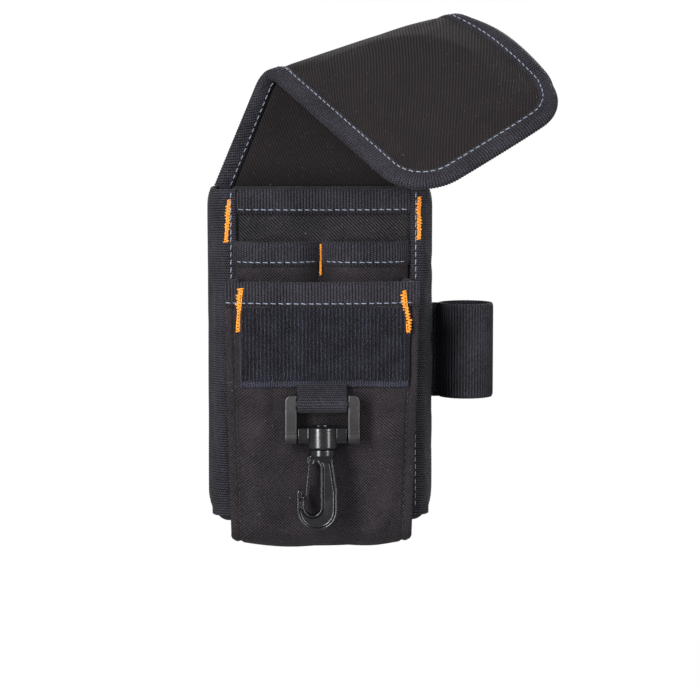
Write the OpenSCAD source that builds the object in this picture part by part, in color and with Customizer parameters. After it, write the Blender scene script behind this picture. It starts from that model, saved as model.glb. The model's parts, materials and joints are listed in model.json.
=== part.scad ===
// Belt-worn tool pouch in woven nylon, with a main pocket, two small tool pockets, a pleated front
// pocket, a snap hook, a flashlight sleeve and a flap that is shown thrown open.
// The wearer stands on the +Y side and the front of the pouch faces -Y. +Z is up.
// The origin is the centre of the belt tunnel on the back.

/* [Pouch body] */
// Height of the body from its lower fold to its top edge
body_h = 132; // [120:1:150]
// Width of the back panel
back_w = 84; // [80:1:90]
// Width of the front panel of the main pocket
front_w = 71; // [68:1:74]
// Depth of the main pocket
main_depth = 27; // [22:1:32]
// Height of the body's top edge above the centre of the belt tunnel
top_z = 42; // [41:1:46]

/* [Small tool pockets] */
// Height of the tool pockets' top edge above the belt tunnel
tool_top_z = 21; // [18:1:24]
// Length of the tool pockets
tool_pocket_h = 78; // [60:1:80]
// How far the tool pockets stand out from the front panel
tool_depth = 9.5; // [7:0.5:10]

/* [Front pocket] */
// Height of the front pocket's top edge above the belt tunnel
pocket_top_z = 7; // [5:1:9]
// Length of the front pocket
pocket_h = 103; // [98:1:106]
// Width of the front pocket at its top edge
pocket_top_w = 76; // [74:1:78]
// Width of the front pocket at its lower edge
pocket_low_w = 71; // [68:1:74]
// Depth of the front pocket at its top edge
pocket_depth = 23; // [22:0.5:24]
// Depth of the front pocket at its lower edge
pocket_low_depth = 11; // [10:0.5:12]

/* [Webbing and belt loop] */
// Width of the ribbed edge binding
binding_w = 8.5; // [7:0.5:9]
// Width of the belt loop
belt_loop_w = 50; // [40:1:60]
// Height of the belt tunnel
belt_tunnel_h = 58; // [52:1:60]
// Free gap of the belt tunnel, front to back
belt_gap = 6; // [5:0.5:6]

/* [Flashlight sleeve] */
// Inner radius of the flashlight sleeve
sleeve_r = 9.5; // [8:0.5:10]
// Height of the flashlight sleeve
sleeve_h = 37.5; // [30:0.5:40]

/* [Flap] */
// Width of the flap
flap_w = 84; // [82:1:85]
// Length of the flap from its seam to its free end
flap_len = 154; // [150:1:156]
// Radius of the flap's two free corners
flap_corner_r = 21; // [18:1:24]
// Width of the flap's binding
flap_binding_w = 7.5; // [6:0.5:8]

/* [Snap hook] */
// Free width between the legs of the clip frame
clip_gap = 19.8; // [19.6:0.1:20.4]
// Distance from the frame's top bar to its pivots
clip_drop = 13; // [13:0.5:14]
// Outer radius of the hook's bend
hook_r = 7.7; // [7.4:0.1:7.8]
// Thickness of the hook
hook_t = 5; // [4:0.5:5]

/* [Hidden] */

FABRIC = [0.17, 0.16, 0.17];
WEBBING = [0.13, 0.13, 0.14];
PILE = [0.11, 0.11, 0.15];
ORANGE = [0.95, 0.55, 0.08];
PLASTIC = [0.15, 0.15, 0.16];
BOARD = [0.35, 0.33, 0.30];

$fn = 64;
fabric_t = 1.2;
web_t = 1.6;
bind_t = 0.7;
board_t = 1.6;
lining_t = 1.0;
joint_gap = 0.08;

// Layers from the back to the front
back_y = -belt_gap / 2;
board_y = back_y - fabric_t;
lining_y = board_y - board_t;
inner_y = lining_y - lining_t;
front_y = inner_y - main_depth - fabric_t;
pocket_y = front_y - pocket_depth;
low_z = top_z - body_h;
band_low_z = low_z + 3;

// ---- Sheets bent in one direction -------------------------------------------------------------

// A wall standing on a plan outline of points, from z0 to z1
module upright(points, z0, z1) {
    translate([0, 0, z0])
        linear_extrude(z1 - z0)
            polygon(points);
}

// A plate given by its two opposite corners
module slab(low, high) {
    translate(low)
        cube(high - low);
}

// ---- Back ------------------------------------------------------------------------------------

module back_sheet(y_front, y_back, inset) {
    slab([-back_w / 2 + inset, y_front, low_z + inset], [back_w / 2 - inset, y_back, top_z]);
}

module back_panel() {
    color(FABRIC)
        back_sheet(board_y, back_y, 0);
}

module back_stiffener() {
    color(BOARD)
        back_sheet(lining_y, board_y, 2);
}

module back_lining() {
    color(FABRIC)
        back_sheet(inner_y, lining_y, 2);
}

// The belt loop's outline seen from the side, as [y, z]; it lies flat on the back panel at both ends
loop_end_z = belt_tunnel_h / 2 + 11;
loop_foot_z = belt_tunnel_h / 2 + 5;
loop_back_y = belt_gap / 2;
loop_outer = [[back_y, loop_end_z], [back_y + web_t, loop_end_z], [back_y + web_t, loop_foot_z],
    [loop_back_y + web_t, belt_tunnel_h / 2 + 1]];
loop_inner = [[loop_back_y, belt_tunnel_h / 2], [back_y, loop_foot_z - 1]];

function flipped(points) = [for (i = [len(points) - 1:-1:0]) [points[i][0], -points[i][1]]];

module belt_loop() {
    color(WEBBING)
        rotate([90, 0, 90])
            translate([0, 0, -belt_loop_w / 2])
                linear_extrude(belt_loop_w)
                    polygon(concat(loop_outer, flipped(loop_outer), flipped(loop_inner), loop_inner));
}

// ---- Main pocket -------------------------------------------------------------------------------

band_steps = 14;
band_bulge = 4.5;
band_front_x = front_w / 2 + 0.2;
band_back_x = back_w / 2 - 0.6;

// A point of the side band's plan; t runs from the front seam to the back seam
function band_x(t, out) = band_front_x + (band_back_x - band_front_x) * t + band_bulge * sin(180 * t) + out;
function band_y(t) = front_y + fabric_t + (inner_y - front_y - fabric_t - 0.2) * t;
band_outline = concat([for (i = [0:band_steps]) [band_x(i / band_steps, 0), band_y(i / band_steps)]],
    [for (i = [band_steps:-1:0]) [band_x(i / band_steps, -web_t), band_y(i / band_steps)]]);

module side_band() {
    upright(band_outline, band_low_z, top_z);
}

module side_band_left() {
    color(WEBBING)
        mirror([1, 0, 0])
            side_band();
}

module side_band_right() {
    color(WEBBING)
        side_band();
}

// The front panel turns under the pocket and is sewn to the back
module main_front_panel() {
    corner_r = 4;
    under = [[-front_w / 2, front_y + corner_r], [front_w / 2, front_y + corner_r],
        [back_w / 2 - 2, inner_y - 0.2], [2 - back_w / 2, inner_y - 0.2]];
    color(FABRIC) {
        slab([-front_w / 2, front_y, low_z + corner_r], [front_w / 2, front_y + fabric_t, top_z]);
        translate([-front_w / 2, front_y + corner_r, low_z + corner_r])
            rotate([90, 0, 90])
                linear_extrude(front_w)
                    intersection() {
                        difference() {
                            circle(corner_r);
                            circle(corner_r - fabric_t);
                        }
                        translate([-corner_r, -corner_r])
                            square(corner_r);
                    }
        upright(under, low_z, low_z + fabric_t);
    }
}

// Binding folded over a straight edge: a plate in front of the edge and a cap over it
module main_pocket_binding() {
    half = front_w / 2 - 0.5;
    color(WEBBING) {
        slab([-half, front_y - bind_t, top_z - binding_w], [half, front_y, top_z + bind_t]);
        slab([-half, front_y, top_z], [half, front_y + fabric_t, top_z + bind_t]);
    }
}

// ---- Small tool pockets --------------------------------------------------------------------------

tool_pocket_w = front_w / 2 - 1.6;
tool_centre_x = tool_pocket_w / 2 + 0.8;
tool_steps = 20;
tool_low_z = tool_top_z - tool_pocket_h;

// Plan outline of a pocket that bulges out of the front panel, shrunk by inset; its back is flat
function bulge_y(t, inset) = -(tool_depth - inset) * (1 - pow(abs(t), 3));
function tool_outline(inset) = [for (i = [0:tool_steps])
    let (t = 2 * i / tool_steps - 1)
        [t * (tool_pocket_w / 2 - inset), front_y + bulge_y(t, inset)]];

module tool_pocket() {
    translate([tool_centre_x, 0, 0])
        difference() {
            upright(tool_outline(0), tool_low_z, tool_top_z);
            upright(tool_outline(fabric_t), tool_low_z + fabric_t, tool_top_z + 1);
        }
}

module tool_pocket_binding() {
    translate([tool_centre_x, 0, 0])
        difference() {
            upright(tool_outline(-bind_t), tool_top_z - binding_w, tool_top_z + bind_t);
            upright(tool_outline(0), tool_top_z - binding_w - 1, tool_top_z);
            upright(tool_outline(fabric_t), tool_top_z - 1, tool_top_z + bind_t + 1);
        }
}

module tool_pocket_left() {
    color(FABRIC)
        mirror([1, 0, 0])
            tool_pocket();
}

module tool_pocket_left_binding() {
    color(WEBBING)
        mirror([1, 0, 0])
            tool_pocket_binding();
}

module tool_pocket_right() {
    color(FABRIC)
        tool_pocket();
}

module tool_pocket_right_binding() {
    color(WEBBING)
        tool_pocket_binding();
}

// ---- Front pocket --------------------------------------------------------------------------------

pocket_low_z = pocket_top_z - pocket_h;
patch_h = 31;
patch_top_z = pocket_top_z - binding_w - 0.7;
patch_low_z = patch_top_z - patch_h;
pocket_wall = 1.4;
pocket_slope = (pocket_depth - pocket_low_depth) / (patch_low_z - pocket_low_z);

// Front face of the pocket at height z
function pocket_face_y(z) = pocket_y + pocket_slope * max(0, patch_low_z - z);

// The pocket's outer form, shrunk on its sides, front and bottom by inset
module pocket_form(inset, z_top) {
    side_view = [[front_y, z_top], [pocket_y + inset, z_top], [pocket_y + inset, patch_low_z],
        [pocket_face_y(pocket_low_z) + inset, pocket_low_z + inset], [front_y, pocket_low_z + inset]];
    top_x = pocket_top_w / 2 - inset;
    low_x = pocket_low_w / 2 - inset;
    front_view = [[-top_x, z_top], [-low_x, pocket_low_z + inset + 1.5], [-low_x + 2, pocket_low_z + inset],
        [low_x - 2, pocket_low_z + inset], [low_x, pocket_low_z + inset + 1.5], [top_x, z_top]];
    intersection() {
        rotate([90, 0, 90])
            translate([0, 0, -pocket_top_w])
                linear_extrude(2 * pocket_top_w)
                    polygon(side_view);
        rotate([90, 0, 0])
            linear_extrude(100)
                polygon(front_view);
    }
}

module front_pocket() {
    color(FABRIC)
        difference() {
            pocket_form(0, pocket_top_z);
            intersection() {
                pocket_form(pocket_wall, pocket_top_z + 1);
                slab([-50, -100, low_z + 1], [50, front_y + 1, pocket_top_z + 2]);
            }
        }
}

module front_pocket_binding() {
    color(WEBBING)
        difference() {
            intersection() {
                pocket_form(-bind_t, pocket_top_z + bind_t);
                slab([-50, -100, pocket_top_z - binding_w], [50, front_y, pocket_top_z + 2]);
            }
            pocket_form(0, pocket_top_z);
            pocket_form(pocket_wall, pocket_top_z + 2);
        }
}

patch_w = 65;
patch_t = 2;
patch_x = 1;

module loop_patch() {
    color(PILE)
        slab([patch_x - patch_w / 2, pocket_y - patch_t, patch_low_z],
            [patch_x + patch_w / 2, pocket_y, patch_top_z]);
}

// ---- Snap hook -----------------------------------------------------------------------------------

bar_r = 2.2;
bar_z = patch_low_z - 6;
clip_web_t = 1.2;
clip_loop_r = bar_r + 0.3;
clip_y = pocket_y - clip_loop_r - clip_web_t - 0.3;
pivot_z = bar_z - clip_drop;
leg_w = 4.4;
// How far the legs stand above the top bar
leg_rise = 1;
leg_x = clip_gap / 2;
pivot_r = 1.3;
boss_r = 3;
barrel_r = 6;
stem_r = 2.1;
yoke_half = leg_x - 0.5;
barrel_top_z = pivot_z + 4.2;
barrel_low_z = pivot_z - 4.2;
collar_r = 5;
collar_h = 2.8;
collar_z = barrel_low_z - 0.3;
neck_z = collar_z - collar_h;
// Head of the hook's stem, sunk in the top of the barrel
head_r = 3.4;
head_t = 1.2;
head_sink = 1.9;
head_gap = 0.3;

// Webbing folded round the frame's top bar and sewn to the pocket under the loop patch
module clip_webbing() {
    web_w = clip_gap - 0.8;
    color(WEBBING)
        translate([-web_w / 2, 0, 0])
            rotate([90, 0, 90])
                linear_extrude(web_w)
                    difference() {
                        hull() {
                            translate([clip_y, bar_z])
                                circle(clip_loop_r + clip_web_t, $fn = 32);
                            translate([pocket_y - 2 * clip_web_t, patch_low_z - 0.5])
                                square([2 * clip_web_t, 0.4]);
                        }
                        translate([clip_y, bar_z])
                            circle(clip_loop_r);
                    }
}

// One leg of the frame, from the top bar down to its pivot boss
module clip_leg() {
    top_r = leg_w / 2;
    top = bar_z + bar_r + leg_rise;
    difference() {
        union() {
            translate([leg_x, clip_y, bar_z])
                rotate([0, 90, 0])
                    cylinder(r = bar_r, h = leg_w - 1.4);
            slab([leg_x, clip_y - bar_r, pivot_z], [leg_x + leg_w, clip_y + bar_r, top - top_r]);
            translate([leg_x + leg_w - top_r, clip_y + bar_r, top - top_r])
                rotate([90, 0, 0])
                    cylinder(r = top_r, h = 2 * bar_r);
            slab([leg_x, clip_y - bar_r, top - top_r - 1], [leg_x + leg_w - top_r, clip_y + bar_r, top]);
            translate([leg_x, clip_y, pivot_z])
                rotate([0, 90, 0])
                    cylinder(r = boss_r, h = leg_w);
        }
        translate([leg_x - 1, clip_y, pivot_z])
            rotate([0, 90, 0])
                cylinder(r = pivot_r, h = 4);
    }
}

module clip_frame() {
    color(PLASTIC) {
        clip_leg();
        mirror([1, 0, 0])
            clip_leg();
        translate([-leg_x - 1, clip_y, bar_z])
            rotate([0, 90, 0])
                cylinder(r = bar_r, h = 2 * leg_x + 2);
    }
}

// Barrel of the yoke, with its outer edges taken off
module yoke_barrel() {
    half = (barrel_top_z - barrel_low_z) / 2;
    edge = 0.4;
    rotate_extrude()
        polygon([[0, -half], [barrel_r - edge, -half], [barrel_r, -half + edge],
            [barrel_r, half - edge], [barrel_r - edge, half], [0, half]]);
}

// Barrel between two lugs, bored and counterbored for the hook's stem, with a pin at each end
module clip_yoke() {
    lug_r = 2.7;
    lug_top = barrel_top_z - pivot_z - 0.5;
    reach = leg_x + 2.7;
    color(PLASTIC)
        translate([0, clip_y, pivot_z])
            difference() {
                union() {
                    yoke_barrel();
                    rotate([0, 90, 0])
                        translate([0, 0, -yoke_half])
                            cylinder(r = lug_r, h = 2 * yoke_half);
                    slab([-yoke_half, -lug_r, 0], [yoke_half, lug_r, lug_top]);
                    rotate([0, 90, 0])
                        translate([0, 0, -reach])
                            cylinder(r = pivot_r - joint_gap, h = 2 * reach);
                }
                translate([0, 0, -10])
                    cylinder(r = stem_r + joint_gap, h = 20);
                translate([0, 0, barrel_top_z - pivot_z - head_sink])
                    cylinder(r = head_r + head_gap, h = 10);
            }
}

hook_x = -2;
hook_z = neck_z - 21;
throat_r = 3.1;
throat_x = hook_x - 1.8;
throat_z = hook_z + 1.2;
spine_in_x = throat_x + throat_r;
spine_out_x = hook_x + hook_r;
nose_z = hook_z + 8;
gate_x = -4.4;
gate_z = neck_z - 1.6;
gate_pin_r = 0.8;

// Outline of the snap hook seen from the front, as [x, z]
module hook_outline() {
    difference() {
        union() {
            translate([hook_x, hook_z])
                circle(hook_r);
            translate([spine_in_x, hook_z])
                square([spine_out_x - spine_in_x, 7]);
            polygon([[spine_in_x, hook_z + 7], [spine_out_x, hook_z + 7], [3.6, neck_z + 0.5],
                [-3.4, neck_z + 0.5], [-3.4, neck_z - 0.6], [spine_in_x, neck_z - 4]]);
            translate([hook_x - hook_r, hook_z])
                square([1.8, nose_z - hook_z - 0.9]);
            translate([hook_x - hook_r + 0.9, nose_z - 0.9])
                circle(0.9);
        }
        translate([throat_x, throat_z])
            circle(throat_r);
        translate([throat_x - throat_r, throat_z])
            square([2 * throat_r, nose_z - throat_z + 1]);
    }
}

module clip_hook() {
    head_z = barrel_top_z - head_sink + head_gap;
    color(PLASTIC)
        translate([0, clip_y, 0]) {
            difference() {
                union() {
                    translate([0, hook_t / 2, 0])
                        rotate([90, 0, 0])
                            linear_extrude(hook_t)
                                hook_outline();
                    translate([gate_x + 1.2, hook_t / 2, gate_z])
                        rotate([90, 0, 0])
                            linear_extrude(hook_t)
                                translate([-2.6, -1.4])
                                    square([3, 3.2]);
                }
                translate([gate_x, 10, gate_z])
                    rotate([90, 0, 0])
                        cylinder(r = gate_pin_r + joint_gap, h = 20);
                slab([gate_x - 3, -hook_t / 2 + 1.1, gate_z - 3],
                    [gate_x + 1.6, hook_t / 2 - 1.1, gate_z + 1.2]);
            }
            translate([0, 0, neck_z])
                cylinder(r = collar_r, h = collar_h);
            translate([0, 0, neck_z])
                cylinder(r = stem_r, h = head_z + head_t - neck_z);
            translate([0, 0, head_z])
                cylinder(r = head_r, h = head_t);
        }
}

// Thin sprung tongue that closes the hook's mouth from the inside
module clip_gate() {
    gate_t = hook_t - 2.8;
    tip = [throat_x - throat_r + 0.95, nose_z - 4];
    color(PLASTIC)
        translate([0, clip_y, 0]) {
            translate([gate_x, hook_t / 2, gate_z])
                rotate([90, 0, 0])
                    cylinder(r = gate_pin_r, h = hook_t);
            translate([0, gate_t / 2, 0])
                rotate([90, 0, 0])
                    linear_extrude(gate_t)
                        polygon([[gate_x - 0.7, gate_z], [gate_x + 0.7, gate_z], tip + [0.5, 0],
                            tip + [-0.7, 0]]);
        }
}

// ---- Flashlight sleeve ---------------------------------------------------------------------------

sleeve_x = 58.2;
sleeve_y = -20;
sleeve_top_z = -4;
sleeve_t = 1.7;

module flashlight_loop() {
    tab_x = band_x(0.5, -0.6);
    color(WEBBING)
        difference() {
            union() {
                translate([sleeve_x, sleeve_y, sleeve_top_z - sleeve_h])
                    cylinder(r = sleeve_r + sleeve_t, h = sleeve_h);
                slab([tab_x, sleeve_y - sleeve_t, sleeve_top_z - sleeve_h],
                    [sleeve_x - sleeve_r, sleeve_y + sleeve_t, sleeve_top_z]);
            }
            translate([sleeve_x, sleeve_y, sleeve_top_z - sleeve_h - 1])
                cylinder(r = sleeve_r, h = sleeve_h + 2);
        }
}

// ---- Bartacks ------------------------------------------------------------------------------------

tack_w = 2.2;
tack_t = 0.7;
tack_len = 17;
tool_tack_len = 12;
pocket_tack_x = 31.6;

// One tack on a front-facing surface at y, from its top centre to its lower centre, as [x, z]
module tack(top, low, y) {
    run = top - low;
    translate([low[0], y, low[1]])
        rotate([0, atan2(run[0], run[1]), 0])
            translate([-tack_w / 2, -tack_t, 0])
                cube([tack_w, tack_t, norm(run)]);
}

// A tack on each side of both mouths, and one between the tool pockets
module bartacks() {
    main_x = front_w / 2 + 0.5;
    main_low_z = top_z - 3.5 - tack_len;
    mouth_y = pocket_y - bind_t;
    mouth_low_z = pocket_top_z - 2.5 - tack_len;
    color(ORANGE) {
        for (side = [-1, 1]) {
            tack([side * main_x, main_low_z + tack_len], [side * main_x, main_low_z], front_y - bind_t);
            tack([side * pocket_tack_x, mouth_low_z + tack_len], [side * (pocket_tack_x + 1.4), mouth_low_z],
                mouth_y);
        }
        tack([0, tool_top_z - 1], [0, tool_top_z - 1 - tool_tack_len], front_y);
    }
}

// ---- Flap ----------------------------------------------------------------------------------------
// The open flap rises from the back seam, folds over along a slanting line and falls forward to the
// right. A point on it is named by u, across from its centre line, and s, along from the seam.

seam_y = back_y - 2;
fold_left = [-22, -16, 84.6];
fold_right = [59, -3.6, 112];
fall = [0.55, -0.68, -0.49] / norm([0.55, -0.68, -0.49]);
fold_reach = 9;
fold_crown = 4.2;
fabric_half = 1.1;
binding_half = 1.8;
seam_share = 0.45;
rear_share = 0.55;

function unit(v) = v / norm(v);
function seam_at(u) = [u, seam_y, top_z];
function fold_at(u) = fold_left + (fold_right - fold_left) * (u / flap_w + 0.5);

// Corner of the two straight stretches, which the fold rounds off
function corner_at(u) = fold_at(u) + fold_crown * unit(unit(fold_at(u) - seam_at(u)) - fall);
function corner_s(u) = norm(corner_at(u) - seam_at(u));

function bend(a, b, c, k) = a * (1 - k) * (1 - k) + b * 2 * k * (1 - k) + c * k * k;
function flap_at(u, s) =
    let (corner = corner_at(u), far = corner_s(u), rise = unit(corner - seam_at(u)))
        s < far - fold_reach ? seam_at(u) + rise * s
        : s > far + fold_reach ? corner + fall * (s - far)
        : bend(corner - rise * fold_reach, corner, corner + fall * fold_reach,
            (s - far + fold_reach) / (2 * fold_reach));

// Normal at the point on the underside, which faces the pockets when the flap is closed
function flap_normal(u, s) = unit(cross(flap_at(u + 0.5, s) - flap_at(u - 0.5, s),
    flap_at(u, s + 0.5) - flap_at(u, s - 0.5)));
function flap_skin(u, s, h) = flap_at(u, s) - flap_normal(u, s) * h;

// A solid sheet over a grid of [u, s] pairs, of the given half thickness
module flap_sheet(grid, half) {
    rows = len(grid);
    cols = len(grid[0]);
    count = rows * cols;
    upper = [for (row = grid) for (p = row) flap_skin(p[0], p[1], half)];
    lower = [for (row = grid) for (p = row) flap_skin(p[0], p[1], -half)];
    rim = concat([for (j = [0:cols - 1]) j],
        [for (i = [1:rows - 1]) i * cols + cols - 1],
        [for (j = [cols - 2:-1:0]) (rows - 1) * cols + j],
        [for (i = [rows - 2:-1:1]) i * cols]);
    faces = concat(
        [for (i = [0:rows - 2]) for (j = [0:cols - 2])
            for (t = [[i * cols + j, (i + 1) * cols + j, i * cols + j + 1],
                [i * cols + j + 1, (i + 1) * cols + j, (i + 1) * cols + j + 1]]) t],
        [for (i = [0:rows - 2]) for (j = [0:cols - 2])
            for (t = [[i * cols + j, i * cols + j + 1, (i + 1) * cols + j],
                [i * cols + j + 1, (i + 1) * cols + j + 1, (i + 1) * cols + j]])
                [t[0] + count, t[1] + count, t[2] + count]],
        [for (k = [0:len(rim) - 1])
            let (a = rim[k], b = rim[(k + 1) % len(rim)])
                for (t = [[a, b, a + count], [b, b + count, a + count]]) t]);
    polyhedron(concat(upper, lower), faces);
}

// Evenly spaced places across the flap
function across(u0, u1, n) = [for (i = [0:n]) u0 + (u1 - u0) * i / n];

// A stretch of the flap, with its start and end along the flap given for each place across it
function strip_grid(us, starts, ends, n) = [for (i = [0:len(us) - 1])
    [for (j = [0:n]) [us[i], starts[i] + (ends[i] - starts[i]) * j / n]]];

seam_gap = 0.3;
panel_half_w = flap_w / 2 - flap_binding_w;
panel_us = across(-panel_half_w, panel_half_w, 10);
left_us = across(-flap_w / 2, -panel_half_w - seam_gap, 1);
right_us = across(panel_half_w + seam_gap, flap_w / 2, 1);

module seam_stretch(us, half) {
    flap_sheet(strip_grid(us, [for (u = us) 1.2], [for (u = us) seam_share * corner_s(u)], 4), half);
}

module rear_stretch(us, half) {
    flap_sheet(strip_grid(us, [for (u = us) rear_share * corner_s(u)], [for (u = us) corner_s(u) + 4], 9),
        half);
}

module flap_seam_panel() {
    color(FABRIC)
        seam_stretch(panel_us, fabric_half);
}

module flap_seam_binding() {
    color(WEBBING) {
        seam_stretch(left_us, binding_half);
        seam_stretch(right_us, binding_half);
    }
}

module flap_rear_panel() {
    color(FABRIC)
        rear_stretch(panel_us, fabric_half);
}

module flap_rear_binding() {
    color(WEBBING) {
        rear_stretch(left_us, binding_half);
        rear_stretch(right_us, binding_half);
    }
}

front_gap = 11;
inner_corner_r = flap_corner_r - flap_binding_w;

// How far the free end falls short of the full length at u, for a corner of radius r at half width w
function corner_cut(u, w, r) = abs(u) <= w - r ? 0 : r - sqrt(max(0, r * r - pow(abs(u) - w + r, 2)));
front_us = [for (i = [0:18]) panel_half_w * sin(90 * (i / 9 - 1))];

module flap_front_panel() {
    ends = [for (u = front_us) flap_len - flap_binding_w - corner_cut(u, panel_half_w, inner_corner_r)];
    color(FABRIC)
        flap_sheet(strip_grid(front_us, [for (u = front_us) corner_s(u) + front_gap], ends, 6), fabric_half);
}

// The binding's course round the free end, as [u, s], for a line inset from the flap's edge
function border(inset) =
    let (w = flap_w / 2 - inset, r = flap_corner_r - inset, low = flap_len - inset - r,
        left = corner_s(-w) + front_gap, right = corner_s(w) + front_gap)
        concat([for (i = [0:3]) [-w, left + (low - left) * i / 4]],
            [for (i = [0:8]) [-w + r - r * cos(90 * i / 8), low + r * sin(90 * i / 8)]],
            [for (i = [1:5]) [(w - r) * (2 * i / 6 - 1), low + r]],
            [for (i = [0:8]) [w - r + r * sin(90 * i / 8), low + r * cos(90 * i / 8)]],
            [for (i = [1:4]) [w, low + (right - low) * i / 4]]);

module flap_front_binding() {
    color(WEBBING)
        flap_sheet([border(flap_binding_w - seam_gap), border(0)], binding_half);
}

// Hook half of the closure, on the flap's underside near its free end
module hook_strip() {
    strip_w = 50;
    strip_low = flap_len - flap_binding_w - 3;
    strip_top = strip_low - 26;
    rows = across(-strip_w / 2, strip_w / 2, 4);
    grid = strip_grid(rows, [for (u = rows) strip_top], [for (u = rows) strip_low], 2);
    color(PILE)
        translate(flap_normal(0, flap_len - 20) * (fabric_half + 0.7))
            flap_sheet(grid, 0.65);
}

back_panel();
back_stiffener();
back_lining();
belt_loop();
side_band_left();
side_band_right();
main_front_panel();
main_pocket_binding();
tool_pocket_left();
tool_pocket_left_binding();
tool_pocket_right();
tool_pocket_right_binding();
front_pocket();
front_pocket_binding();
loop_patch();
clip_webbing();
flashlight_loop();
bartacks();
flap_seam_panel();
flap_seam_binding();
flap_rear_panel();
flap_rear_binding();
flap_front_panel();
flap_front_binding();
hook_strip();
clip_frame();
clip_yoke();
clip_hook();
clip_gate();
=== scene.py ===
import json
import math

import bpy
import numpy as np
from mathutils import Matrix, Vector
from mathutils.kdtree import KDTree


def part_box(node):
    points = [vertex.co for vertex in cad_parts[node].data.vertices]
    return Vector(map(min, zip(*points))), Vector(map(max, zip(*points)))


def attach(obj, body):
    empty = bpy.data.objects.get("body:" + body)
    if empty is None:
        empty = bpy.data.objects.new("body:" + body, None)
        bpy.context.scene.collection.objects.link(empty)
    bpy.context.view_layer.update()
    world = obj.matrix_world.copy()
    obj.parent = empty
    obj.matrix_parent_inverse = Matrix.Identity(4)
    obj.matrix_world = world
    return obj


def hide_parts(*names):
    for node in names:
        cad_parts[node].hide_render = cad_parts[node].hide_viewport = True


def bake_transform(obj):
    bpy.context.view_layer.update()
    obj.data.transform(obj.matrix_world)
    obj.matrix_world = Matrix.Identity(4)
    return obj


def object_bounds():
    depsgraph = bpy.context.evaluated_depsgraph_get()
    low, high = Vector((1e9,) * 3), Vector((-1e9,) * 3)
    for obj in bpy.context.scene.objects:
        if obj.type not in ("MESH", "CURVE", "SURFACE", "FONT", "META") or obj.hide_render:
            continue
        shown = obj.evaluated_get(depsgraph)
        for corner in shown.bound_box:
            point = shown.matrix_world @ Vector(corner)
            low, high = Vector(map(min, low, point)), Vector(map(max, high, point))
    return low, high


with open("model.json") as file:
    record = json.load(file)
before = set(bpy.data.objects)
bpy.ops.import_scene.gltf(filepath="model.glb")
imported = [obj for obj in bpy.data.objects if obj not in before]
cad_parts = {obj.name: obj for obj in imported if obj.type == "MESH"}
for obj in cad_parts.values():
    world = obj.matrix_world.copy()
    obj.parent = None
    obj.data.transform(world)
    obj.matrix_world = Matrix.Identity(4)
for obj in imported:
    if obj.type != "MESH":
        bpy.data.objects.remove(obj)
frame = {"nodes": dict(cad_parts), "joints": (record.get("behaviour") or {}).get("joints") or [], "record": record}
cad_low, cad_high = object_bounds()

MM = 0.001
rng = np.random.default_rng(7)


def box(node):
    """Lowest and highest corner of a CAD node, in millimetres."""
    low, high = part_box(node)
    return np.array(low) / MM, np.array(high) / MM


# ---- Camera, light and floor --------------------------------------------------------------------

AIM = Vector((0.012, -0.020, -0.023))
CAMERA_DISTANCE = 1.0
CAMERA_ELEVATION = math.radians(6.0)
CAMERA_AZIMUTH = math.radians(-1.84)
CAMERA_LENS = 128.6


def add_camera():
    data = bpy.data.cameras.new("camera")
    data.lens = CAMERA_LENS
    data.sensor_width = 36
    data.clip_start = 0.01
    data.clip_end = 30
    camera = bpy.data.objects.new("camera", data)
    back = Vector((math.sin(CAMERA_AZIMUTH) * math.cos(CAMERA_ELEVATION),
                   -math.cos(CAMERA_AZIMUTH) * math.cos(CAMERA_ELEVATION), math.sin(CAMERA_ELEVATION)))
    camera.location = AIM + back * CAMERA_DISTANCE
    camera.rotation_euler = (-back).to_track_quat("-Z", "Y").to_euler()
    bpy.context.scene.collection.objects.link(camera)
    bpy.context.scene.camera = camera


def add_sun(name, towards, strength, softness):
    """A distant soft light that shines along a direction."""
    data = bpy.data.lights.new(name, "SUN")
    data.energy = strength
    data.angle = math.radians(softness)
    lamp = bpy.data.objects.new(name, data)
    lamp.rotation_euler = Vector(towards).to_track_quat("-Z", "Y").to_euler()
    bpy.context.scene.collection.objects.link(lamp)


def add_softbox(name, place, width, height, watts):
    """A lit panel near the pouch, for long highlights on smooth pieces."""
    data = bpy.data.lights.new(name, "AREA")
    data.shape = "RECTANGLE"
    data.size = width
    data.size_y = height
    data.energy = watts
    panel = bpy.data.objects.new(name, data)
    panel.location = place
    panel.rotation_euler = (AIM - Vector(place)).to_track_quat("-Z", "Y").to_euler()
    bpy.context.scene.collection.objects.link(panel)


def add_stage(piece, name, colour, glow):
    """Give a stage piece its pale paint, and keep its bounce off the object."""
    paint = bpy.data.materials.new(name)
    paint.use_nodes = True
    surface = paint.node_tree.nodes["Principled BSDF"]
    surface.inputs["Base Color"].default_value = colour
    surface.inputs["Roughness"].default_value = 0.9
    surface.inputs["Specular IOR Level"].default_value = 0.1
    surface.inputs["Emission Color"].default_value = (1, 1, 1, 1)
    surface.inputs["Emission Strength"].default_value = glow
    piece.name = name
    piece.data.materials.append(paint)
    piece.visible_diffuse = False
    piece.visible_glossy = False
    piece.visible_shadow = False


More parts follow.
